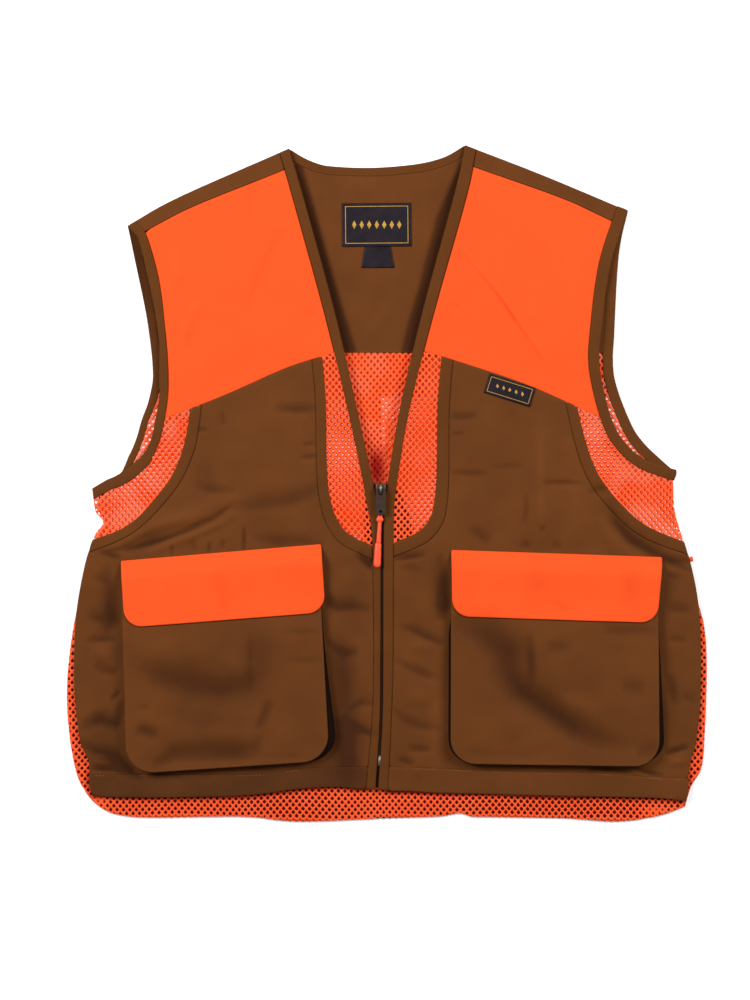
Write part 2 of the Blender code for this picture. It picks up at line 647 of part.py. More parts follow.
def make_back():
    shoulders = {side: flat(smooth(SHOULDER[side])) for side in SHOULDER}
    neck = smooth([(*row, BACK_BIND) for row in BACK_NECK])
    neck_in = offset(neck, -1.0)
    yoke_low = flat(smooth(YOKE_LOW))
    arms = {side: smooth(BACK_ARM[side]) for side in BACK_ARM}
    arms_in = {side: offset(arms[side], INWARD[side]["arm"]) for side in BACK_ARM}
    rim = flat(smooth(BACK_ROUND))
    yoke = outline(neck_in, shoulders["right"], arms_in["right"], yoke_low,
                   arms_in["left"], shoulders["left"])
    plate("back_yoke", [inset(yoke)], 0.0, YOKE, "brown_canvas")
    binding = outline(flat(neck), shoulders["right"], neck_in, shoulders["left"])
    plate("back_neck_binding", [inset(binding)], 0.0, FOLDED, "brown_binding")
    for side in BACK_ARM:
        binding = outline(shoulders[side], arms_in[side], rim, flat(arms[side]))
        plate(f"back_arm_binding_{side}", [inset(binding)], 0.0, FOLDED, "brown_binding")
    net = outline(yoke_low, arms_in["right"], rim[::-1], arms_in["left"])
    slab("back_mesh", inset(net), back_net_low, above(back_net_low, NET), "blaze_net",
         cell=2 * CELL)
    bag = inset(tidy([point for point in rim if point.y < BAG_UPPER_EDGE]), BAG_INSET)
    plate("game_bag_panel", [bag], 0.0, CANVAS, "bag_lining")


def edge_distance(points, x, y):
    """How far inside a closed outline a place lies, or zero outside it."""
    place = Vector((x, y))
    nearest = None
    inside = False
    for a, b in zip(points, points[1:] + points[:1]):
        way = b - a
        share = min(1.0, max(0.0, (place - a).dot(way) / way.length_squared))
        distance = (a + way * share - place).length
        nearest = distance if nearest is None else min(nearest, distance)
        if (a.y > y) != (b.y > y) and x < a.x + (y - a.y) * way.x / way.y:
            inside = not inside
    return nearest if inside else 0.0


def front_top(x, y):
    return front_low(x, y) + CANVAS


def face_rise(pocket, outline_points):
    """Height of a pocket's face over its front, straight between the grid's points."""
    def at_points(x, y):
        share = smoothstep(edge_distance(outline_points, x, y) / FACE_EDGE)
        dents = sum(ridge(dent, x, y) for dent in pocket.dents)
        return 2 * GAP + POCKET_DEPTH + share * (POCKET_CROWN + dents)
    return lambda x, y: on_grid(at_points, x, y)


def make_pocket(side):
    pocket = POCKETS[side]
    radii = [CORNER_SMALL, CORNER_SMALL, pocket.radius, pocket.radius]
    face = rounded(pocket.corners, radii)
    rise = face_rise(pocket, face)

    def face_low(x, y):
        return front_top(x, y) + rise(x, y)

    slab(f"pocket_face_{side}", face, face_low, above(face_low, CANVAS), "brown_canvas")
    make_gusset(side, pocket, face_low)
    top_left = Vector(pocket.flap[0])
    seam = (Vector(pocket.flap[1]) - top_left).normalized()
    down = Vector((seam.y, -seam.x))

    def flap_low(x, y):
        climbed = smoothstep((Vector((x, y)) - top_left).dot(down) / FLAP_RISE)
        return front_top(x, y) + GAP + climbed * (rise(x, y) + CANVAS)

    flap = rounded(pocket.flap, [CORNER_SMALL, CORNER_SMALL, pocket.flap_radius,
                                 pocket.flap_radius])
    slab(f"pocket_flap_{side}", flap, flap_low, above(flap_low, FLAP), "blaze_cloth",
         cell=FINE_CELL)


def gusset_path(pocket):
    """Places along the pocket's two sides and bottom, with the way out at each."""
    radii = [CORNER_SMALL, CORNER_SMALL, pocket.radius, pocket.radius]
    closed = inset(rounded(pocket.corners, radii), GUSSET_INSET)
    top_left = min(range(len(closed)),
                   key=lambda k: (closed[k] - Vector(pocket.corners[0])).length)
    loop = closed[top_left:] + closed[:top_left]
    top_right = min(range(len(loop)),
                    key=lambda k: (loop[k] - Vector(pocket.corners[1])).length)
    bend = loop[:top_right + 1]
    places = []
    for a, b in zip(bend, bend[1:]):
        pieces = max(1, math.ceil((b - a).length / CURVE_STEP))
        places += [a.lerp(b, k / pieces) for k in range(pieces)]
    places.append(bend[-1])
    return places, [-normal for normal in normals(places)]


def make_gusset(side, pocket, face_low):
    """Bellows strip between a pocket's face and its front, bulging outward half way up."""
    left, bottom, right = pocket.flares
    bm = bmesh.new()
    rings = []
    places, outs = gusset_path(pocket)
    mouth = (places[0], places[-1])
    for place, out in zip(places, outs):
        flare = (left * max(0.0, -out.x) ** 2 + bottom * max(0.0, -out.y) ** 2
                 + right * max(0.0, out.x) ** 2)
        below = min((place - end).length for end in mouth)
        flare *= MOUTH_FLARE + (1 - MOUTH_FLARE) * smoothstep(below / MOUTH_LENGTH)
        top = on_grid(face_low, place.x, place.y) - GUSSET_SEAT
        base = front_top(place.x, place.y) + GUSSET_SEAT
        middle = (top + base) / 2
        section = [(0.0, top), (flare, middle), (0.0, base), (-GUSSET_WALL, base),
                   (flare - GUSSET_WALL, middle), (-GUSSET_WALL, top)]
        rings.append([bm.verts.new((*(place + out * reach), height))
                      for reach, height in section])
    for ring, following in zip(rings, rings[1:]):
        for k in range(len(ring)):
            after = (k + 1) % len(ring)
            bm.faces.new((ring[k], ring[after], following[after], following[k]))
    for ring in (rings[0], rings[-1]):
        top, middle, base, inner_base, inner_middle, inner_top = ring
        bm.faces.new((top, middle, inner_middle, inner_top))
        bm.faces.new((middle, base, inner_base, inner_middle))
    bmesh.ops.recalc_face_normals(bm, faces=bm.faces)
    name = f"pocket_gusset_{side}"
    mesh = bpy.data.meshes.new(name)
    bm.to_mesh(mesh)
    bm.free()
    link(bpy.data.objects.new(name, mesh), PARTS, "brown_canvas")


def ribbon(rows, half):
    """Outline of an even strip along a curve."""
    middle = smooth([(*row, half) for row in rows], overrun=0.0)
    return tidy(offset(middle, 1.0) + offset(middle, -1.0)[::-1])


def tag(size, place):
    """Outline of a small label at its place and turn."""
    width, height = size
    x, y, turn = place
    corners = [(-width / 2, -height / 2), (width / 2, -height / 2),
               (width / 2, height / 2), (-width / 2, height / 2)]
    cos, sin = math.cos(math.radians(turn)), math.sin(math.radians(turn))
    return [Vector((x + cx * cos - cy * sin, y + cx * sin + cy * cos)) for cx, cy in corners]


def make_labels():
    on_yoke = YOKE + GAP
    plate("neck_label", [tag(NECK_LABEL_SIZE, NECK_LABEL_AT)], on_yoke, LABEL, "woven_label")
    plate("size_tab", [tag(SIZE_TAB_SIZE, SIZE_TAB_AT)], on_yoke, LABEL, "woven_label")
    on_front = above(front_top, GAP)
    slab("chest_label", tag(CHEST_LABEL_SIZE, CHEST_LABEL_AT), on_front,
         above(on_front, LABEL), "woven_label")
    slab("side_loop", tag(SIDE_LOOP_SIZE, SIDE_LOOP_AT), front_low,
         above(front_low, LABEL), "blaze_cloth")


def highest(height, place, size, steps=6):
    """Greatest height of a sheet under a rectangle."""
    spots = [k / steps - 0.5 for k in range(steps + 1)]
    return max(height(place[0] + u * size[0], place[1] + v * size[1])
               for u in spots for v in spots)


def make_zip():
    tape_low = above(front_low, -GAP - ZIP_TAPE)
    slab("zip_tape", ribbon(ZIP_LINE, ZIP_TAPE_HALF), tape_low, above(tape_low, ZIP_TAPE),
         "zip_coil")
    slab("zip_chain", ribbon(ZIP_LINE, ZIP_CHAIN_HALF), front_low,
         above(front_low, ZIP_CHAIN), "zip_coil")
    under = highest(front_low, SLIDER_AT, SLIDER_SIZE)
    plate_low = under + FOLDED + GAP
    on_chain = highest(front_low, SLIDER_AT, (2 * ZIP_CHAIN_HALF, SLIDER_NECK[1]))
    neck_low = on_chain + ZIP_CHAIN + GAP
    plate_top = plate_low + SLIDER_SIZE[2]
    slider = box("zip_slider", SLIDER_SIZE, (*SLIDER_AT, plate_low + SLIDER_SIZE[2] / 2),
                 SLIDER_BEVEL)
    link(slider, PARTS, "gunmetal")
    neck_height = plate_low + SLIDER_BEVEL + GAP - neck_low
    neck = box("cut_slider_neck", (*SLIDER_NECK, neck_height),
               (*SLIDER_AT, neck_low + neck_height / 2))
    link(neck, CUTTERS, "gunmetal")
    boolean(slider, neck, "UNION")
    crown = link(to_mesh(crown_wire(plate_top)), CUTTERS, "gunmetal")
    boolean(slider, crown, "UNION")
    make_pull(plate_top + HINGE_RISE)


def crown_wire(plate_top):
    """Bridge over the slider: two legs that start inside its plate, and a round top."""
    curve = bpy.data.curves.new("cut_crown", "CURVE")
    curve.dimensions = "3D"
    curve.bevel_depth = CROWN_WIRE
    curve.bevel_resolution = 2
    curve.use_fill_caps = True
    arc_steps = 8
    points = [(0.0, -CROWN_REACH, -SLIDER_BEVEL)]
    spring = CROWN_HEIGHT - CROWN_REACH + CROWN_WIRE
    rise = CROWN_HEIGHT - spring
    for k in range(arc_steps + 1):
        angle = math.pi * k / arc_steps
        points.append((0.0, -CROWN_REACH * math.cos(angle), spring + rise * math.sin(angle)))
    points.append((0.0, CROWN_REACH, -SLIDER_BEVEL))
    spline = curve.splines.new("POLY")
    spline.points.add(len(points) - 1)
    for target, point in zip(spline.points, points):
        target.co = (*point, 1.0)
    obj = bpy.data.objects.new("cut_crown", curve)
    bpy.context.scene.collection.objects.link(obj)
    obj.location = (*SLIDER_AT, plate_top)
    return obj


def round_rectangle(centre, size, radius, steps=4):
    x, y = centre
    width, height = size
    corners = [(x - width / 2, y - height / 2), (x + width / 2, y - height / 2),
               (x + width / 2, y + height / 2), (x - width / 2, y + height / 2)]
    return rounded(corners, [radius] * 4, steps)


def make_pull(axis_height):
    """Tab, cord and grip, which swing together about the slider's bridge."""
    axis = bpy.data.objects.new("pull_axis", None)
    PARTS.objects.link(axis)
    axis.location = (*SLIDER_AT, axis_height)
    middle = TAB_HEAD - TAB_SIZE[1] / 2
    slot = -TAB_HEAD - TAB_SLOT[1] / 2
    outlines = [
        round_rectangle((0.0, middle), TAB_SIZE[:2], TAB_RADIUS),
        round_rectangle((0.0, slot), TAB_SLOT, TAB_SLOT_RADIUS),
        round_rectangle((0.0, TAB_HOLE_AT), TAB_HOLE, TAB_HOLE_RADIUS),
    ]
    tab = to_mesh(filled_outline("pull_tab", outlines, TAB_SIZE[2] / 2))
    tab.parent = axis
    tab.rotation_euler.x = TAB_TILT
    link(tab, PARTS, "gunmetal")
    cord_height = (highest(front_low, KNOT_AT, KNOT_SIZE) + FOLDED + PULL_SEAT
                   + KNOT_SIZE[2] / 2 - axis_height)
    knot = ball("pull_cord", KNOT_SIZE)
    knot.parent = axis
    knot.location = (KNOT_AT[0] - SLIDER_AT[0], KNOT_AT[1] - SLIDER_AT[1], cord_height)
    link(knot, PARTS, "orange_rubber")
    start = Vector((*KNOT_AT, cord_height + axis_height))
    end = Vector((*CORD_END, cord_height + axis_height))
    boolean(knot, link(rod("cut_cord", start, end, CORD_RADIUS), CUTTERS, "orange_rubber"),
            "UNION")
    grip = box("pull_grip", GRIP_SIZE, (0.0, 0.0, 0.0), GRIP_BEVEL)
    grip.parent = axis
    grip.location = (GRIP_AT[0] - SLIDER_AT[0], GRIP_AT[1] - SLIDER_AT[1],
                     highest(front_low, GRIP_AT, GRIP_SIZE) + FOLDED + PULL_SEAT
                     + GRIP_SIZE[2] / 2 - axis_height)
    link(grip, PARTS, "orange_rubber")


def ball(name, size):
    bm = bmesh.new()
    bmesh.ops.create_uvsphere(bm, u_segments=12, v_segments=8, radius=0.5)
    for vert in bm.verts:
        vert.co = Vector(side * length for side, length in zip(vert.co, size))
    mesh = bpy.data.meshes.new(name)
    bm.to_mesh(mesh)
    bm.free()
    mesh.shade_smooth()
    return bpy.data.objects.new(name, mesh)


def rod(name, start, end, radius):
    bpy.ops.mesh.primitive_cylinder_add(vertices=12, radius=radius,
                                        depth=(end - start).length,
                                        location=(start + end) / 2)
    obj = bpy.context.active_object
    obj.name = name
    obj.rotation_euler = (end - start).to_track_quat("Z", "Y").to_euler()
    return obj


clear_scene()
PARTS = new_collection("hunting_vest")
CUTTERS = new_collection("cutters")
make_back()
for SIDE in ("left", "right"):
    make_front(SIDE)
    make_pocket(SIDE)
make_labels()
make_zip()
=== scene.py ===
"""Looks of a hunting vest that lies flat on its back, front up.

Metres, +Z up, +Y towards the neck. Left and right are the viewer's. Every cloth piece takes its
outline and height from its solid in the frame, and gets soft creases, a rounded edge and stitches.
"""
import math
from collections import namedtuple

import bmesh
import bpy
import numpy as np
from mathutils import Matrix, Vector, geometry, noise
from mathutils.bvhtree import BVHTree

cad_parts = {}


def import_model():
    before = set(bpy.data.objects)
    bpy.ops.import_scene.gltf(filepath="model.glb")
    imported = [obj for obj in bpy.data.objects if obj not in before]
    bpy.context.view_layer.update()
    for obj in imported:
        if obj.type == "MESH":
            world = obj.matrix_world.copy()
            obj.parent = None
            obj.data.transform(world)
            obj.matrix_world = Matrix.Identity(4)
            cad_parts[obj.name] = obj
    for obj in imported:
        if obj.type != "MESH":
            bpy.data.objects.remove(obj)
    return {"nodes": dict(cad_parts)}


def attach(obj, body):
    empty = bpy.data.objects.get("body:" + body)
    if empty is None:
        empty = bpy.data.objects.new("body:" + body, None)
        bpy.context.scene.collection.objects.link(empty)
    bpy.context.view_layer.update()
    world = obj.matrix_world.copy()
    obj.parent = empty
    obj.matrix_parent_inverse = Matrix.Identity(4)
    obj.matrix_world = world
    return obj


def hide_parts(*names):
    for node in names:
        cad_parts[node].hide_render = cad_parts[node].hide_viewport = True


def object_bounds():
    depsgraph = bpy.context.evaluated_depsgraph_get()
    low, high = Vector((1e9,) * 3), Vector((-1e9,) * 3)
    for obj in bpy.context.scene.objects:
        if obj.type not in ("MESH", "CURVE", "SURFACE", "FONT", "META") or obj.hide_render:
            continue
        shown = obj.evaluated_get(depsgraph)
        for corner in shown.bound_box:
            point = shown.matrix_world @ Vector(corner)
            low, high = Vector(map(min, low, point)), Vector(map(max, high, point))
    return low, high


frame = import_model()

CAD_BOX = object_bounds()
VEST = "vest"
PULL = "pull"
SIDES = ("left", "right")

# Layers, as in the solids
CANVAS = 0.0012
NET = 0.0010
FOLDED = 0.0022
YOKE = 0.0020
LABEL = 0.0009
FLAP = 0.0018
TAPE = 0.0009
GAP = 0.0003

# Meshes
UP = 0.3                   # least upward normal of a face that belongs to a solid's upper side
SAME = 1e5                 # places are matched to a hundredth of a millimetre
STRAIGHT = math.radians(0.05)
CORNER = math.radians(27)
CURVED_CORNER = math.radians(42)  # on the strips round the centre nets
RIM_STEP = 0.0030
LONG_RUN = 0.034           # a straight run longer than this stays straight
CURVED_RUN = 0.080         # and on the strips round the centre nets
PITCH = 0.0027
SHARP_CREASE = 0.0068      # creases narrower than this get their own rows of points
CREASE_STEP = 0.0030
CREASE_ROWS = (-1.6, -1.1, -0.7, -0.35, 0.0, 0.35, 0.7, 1.1, 1.6)
EDGE_ROUND = 0.0011        # how far in from its edge a cloth reaches its full thickness
EDGE_THIN = 0.30           # share of the thickness that is left at the edge
EDGE_RINGS = (0.4, 1.0)    # rows of points along an edge, in shares of its rounding

# Height fields
FIELD_PITCH = 0.004
FIELD_BLUR = 2.0           # in cells
FIELD_MARGIN = 0.02

# Pockets, as in the solids
FLAP_SEAM = {"left": ((-0.2654, -0.0772), (-0.0654, -0.0605)),
             "right": ((0.0643, -0.0662), (0.2753, -0.0735))}
FLAP_RISE = 0.0195
FLARES = {"left": (0.0014, 0.0014, 0.0086), "right": (0.0034, 0.0018, 0.0066)}
MOUTH_DROP = 0.0028        # how much lower the pockets lie under their flaps
MOUTH_CHANGE = (-0.19, 0.09)
FRONT_DEEPEST = 0.0013
FACE_DEEPEST = 0.0040
FRONT_SUNK = 0.0006        # how far the cloth lies below the solids, apart from its ripples
FACE_SUNK = 0.0014
FRONT_RIPPLES = ((0.040, 0.0022, 3.0), (0.016, 0.0008, 7.0))    # size, height and seed
FACE_RIPPLES = ((0.045, 0.0026, 11.0), (0.018, 0.0009, 13.0))
SHADE_DEPTH = 0.0048       # a hollow this deep is fully shaded
CROWN_REACH = 0.002        # how soon a crowned piece swells from its edge
GUSSET_INSET = 0.0012
GUSSET_WALL = 0.0012
MOUTH_FLARE = 0.20
MOUTH_LENGTH = 0.170
MOUTH_POWER = {"left": 1.8, "right": 1.0}
CORNER_POWER = {"left": 2, "right": 4}
GUSSET_DEPTH = 0.016       # width of the strip that the gusset is cut from
GUSSET_STEPS = 8
GUSSET_CLEAR = 0.0001
GUSSET_START = 0.020       # the outer end stays flat up to here, and opens over a length
GUSSET_OPENING = 0.030

# Knit mesh: pitch of its holes in a row and pitch of the rows, a cell's edge, and its hole
CELL = (0.0064, 0.0037)
OUTER = np.array([(0.0032, 0.0), (0.0016, 0.00185), (0.0, 0.0037), (-0.0016, 0.00185),
                  (-0.0032, 0.0), (-0.0016, -0.00185), (0.0, -0.0037), (0.0016, -0.00185)])
HOLE = np.array([(0.00165, 0.0), (0.00105, 0.00108), (0.0, 0.00165), (-0.00105, 0.00108),
                 (-0.00165, 0.0), (-0.00105, -0.00108), (0.0, -0.00165), (0.00105, -0.00108)])
NET_TUCK = 0.003           # how far a net runs in under the strips that bind it
NET_EDGE = 0.0016          # cells whose middle lies this far outside the rim still count
NET_CLOSING = 0.0032       # holes get smaller within this distance of the rim
NET_ROUND = 0.0008
SIDES_OF_CELL = 8

# Sheets
STRIP_RATIO = 6.0          # a cut this many times longer than wide is measured as a strip
LEAST_SHARE = 0.35         # a cut that fills less of its bounding sides is measured as a strip
LEAST_WIDTH = 0.0101       # narrower pieces go with the cloth that they are on

STITCH = (0.0024, 0.00075, 0.00032)   # length, width and rise
STITCH_PITCH = 0.0034
HEM_SHOWN = 0.50           # share of the hem's stitches that stand out of the cloth, about
TOOTH_PITCH = 0.0013
TOOTH = (0.00075, 0.00058, 0.0007)    # half width, half length and half height
TOOTH_OFFSET = 0.00042
BORDER = (0.0001, 0.00008)   # how far a label's border reaches below and above its cloth
DIAMOND_RISE = 0.00012
# Rows of woven diamonds: middle, pitch, turn and how many on each side of the middle
NECK_DIAMONDS = ((-0.0100, 0.2585), 0.0075, 0.0, 3)
CHEST_DIAMONDS = ((0.1228, 0.0930), 0.0065, math.radians(-17.4), 2)
ZIP_PIN = [(-0.0066, -0.2715), (-0.0073, -0.2765), (-0.0079, -0.2815)]

NET_SHIFT = {"arm_mesh_left": (0.001, 0.002), "arm_mesh_right": (0.002, 0.001),
             "centre_mesh_left": (0.0015, 0.0010), "centre_mesh_right": (0.0005, 0.0025)}
ZIP_LINE = [(-0.0060, -0.0110), (-0.0055, -0.0220), (-0.0049, -0.0600), (-0.0050, -0.1800),
            (-0.0060, -0.2415), (-0.0086, -0.2825)]
NET_PULL = 0.0007
NOTCH = 0.0060
BACK_NET_REACH = 0.0022
BACK_NET_TOP = 0.1295
BACK_NET_SIDE = 0.27
# How much the knits glow: painted light, standing in for their fluorescent dye
NET_GLOW = 0.12
# Pitch and depth of a weave, and height of the cloth's crumples
CANVAS_WEAVE = (0.0008, 0.0001, 0.0003)
BINDING_WEAVE = (0.0008, 0.0001, 0.0002)
SMOOTH_WEAVE = (0.0006, 0.00006, 0.00015)
COATED_WEAVE = (0.0007, 0.00008, 0.0002)
TAPE_WEAVE = (0.0006, 0.00006, 0.0001)
FLOOR_GLOW = 0.30          # the table is a lit white one
AMBIENT = 0.17
FLOOR_SIZE = 8.0
FLOOR_HEIGHT = -0.0004
SOFTBOXES = (("softbox_left", -1.45, 43.0), ("softbox_right", 1.45, 34.0))
SOFTBOX_SIZE = 1.0
SOFTBOX_PLACE = (0.75, 1.5)

# Plain facing behind the back mesh under the yoke, as the photo shows it through the holes
FACING = [(-0.2312, 0.1330), (-0.2316, 0.0860), (-0.0345, 0.0855), (-0.0280, 0.0560),
          (-0.0175, -0.0012), (-0.0040, -0.0012), (-0.0032, 0.0350), (-0.0042, 0.0560),
          (-0.0050, 0.0860), (0.2200, 0.0860), (0.2230, 0.1330)]
# Second layer of knit beside it, and the dark backing of the zip
INNER_NET = [(-0.0050, -0.0015), (0.0070, -0.0015), (0.0170, 0.0860), (0.0010, 0.0860)]
ZIP_BACKING = [(-0.0208, -0.0045), (-0.0220, -0.0365), (-0.0215, -0.0660), (0.0243, -0.0660),
               (0.0252, -0.0465), (0.0213, -0.0285), (0.0153, -0.0145), (0.0113, -0.0045)]
# Places where the back net is folded shut: the middle, and half the width and length
CLOSED_FOLDS = [(-0.2885, -0.3160, 0.0090, 0.0050), (0.2680, -0.3265, 0.0140, 0.0040)]
NECK_SHADE = (-0.0100, 0.0170, 0.0082, 0.0190)   # the shade left of the slider, in the same way
UPPER_NET = -0.04          # the back's upper net starts here, and the lower one ends at LOWER_NET
LOWER_NET = -0.2
FREE_EDGE = (-0.062, 0.010)  # the stretch of the back net's side edges that nothing binds
FREE_HOLES = (-0.060, 0.010)  # the stretch where the holes at the free left end are less open
HEM_TOP = -0.288           # the hem bands shade the net below here
FACING_CLOTH = 0.0006
FACING_ROOM = 0.0008
# Changes: the place or value where they start, and their length, which runs down if negative
FACING_CHANGE = (-0.06, 0.05)
# The painted shade on the facing's tongue: its left and right edges, and its top
TONGUE_SHADE_LEFT = (-0.04, 0.005)
TONGUE_SHADE_RIGHT = (0.05, -0.03)
TONGUE_SHADE_TOP = (0.056, -0.030)
FREE_END = (-0.272, -0.012)
VEIL_START = (0.034, 0.024)
HEM_NET = (-0.285, -0.010)
HEM_NET_LEFT = (-0.160, 0.050)
PALE_PATCHES = (0.40, 0.30)
PALE_NET = (-0.062, 0.012)
PALE_ARMS = (0.15, 0.02)
NOTCH_END = (-0.270, -0.012)
DENT_EDGE = (-0.0060, 0.0040)
# Soft patches of the back net: a half size, or a middle and a half size in one direction
NECK_WIDTH = 0.075
SEAT = (0.004, 0.016)
VEIL = (-0.045, 0.030)
HEM_DARKEST = (0.010, 0.050)
HEM_SHADE = 0.0062

# Zip pull: the slider's middle, half sizes and levels, and the bridge over it
SLIDER_AT = (-0.0060, -0.0052)
SLIDER_HALF = (0.0053, 0.0060)
SLIDER_LEVELS = ((0.0120, 0.80), (0.0124, 0.96), (0.0130, 1.0), (0.0142, 1.0), (0.0148, 0.95),
                 (0.0151, 0.84))   # heights, and shares of its outline there
BRIDGE_RADIUS = 0.0038
BRIDGE_HEIGHT = 0.0146
# Straight parts of the pull: a start, and the way from there to the end
KNOT_LINE = ((-0.0067, -0.0320, 0.01145), (-0.0004, -0.0078, 0.0))
CORD_LINE = ((-0.0070, -0.0385, 0.0114), (-0.0012, -0.0215, 0.0))
GRIP_LINE = ((-0.0085, -0.0590, 0.01144), (-0.0013, -0.0250, 0.0))
# Shares along the grip, with its half width and half thickness there
GRIP_PROFILE = [(0.0, 0.0012, 0.0011), (0.01, 0.0021, 0.0016), (0.04, 0.0029, 0.0020),
                (0.10, 0.0033, 0.0022), (0.35, 0.0034, 0.0023), (0.65, 0.0036, 0.0023),
                (0.84, 0.0038, 0.0023), (0.90, 0.0036, 0.0022), (0.95, 0.0029, 0.0018),
                (0.985, 0.0018, 0.0012), (1.0, 0.0006, 0.0004)]

BACK_BINDING_GROWN = {"left": 0.0003, "right": 0.0012}
ARMHOLE_GROWN = 0.0006     # of the right front binding

LOOPS = {}
PIECES = []

# Photo frame
PHOTO_WIDTH = 750
PHOTO_HEIGHT = 1000
METRES_PER_PIXEL = 0.001
ORIGIN_PIXEL = (386.75, 483.5)   # where the vest's origin shows
CAMERA_HEIGHT = 3.2
SENSOR = 36.0

Crease = namedtuple("Crease", "x0 y0 x1 y1 bend width height skew")


def metres(value):
    """A length, or nested rows of lengths, written in millimetres."""
    if isinstance(value, (list, tuple)):
        return [metres(part) for part in value]
    return round(value / 1000, 4)


def creases_from(rows):
    """Creases from rows with two ends, bend, width and height in millimetres, and a skew."""
    return [Crease(*metres(row[:7]), row[7]) for row in rows]


def sharp(creases):
    """The creases that are narrow enough to get rows of points of their own."""
    return [crease for crease in creases if crease.width < SHARP_CREASE]


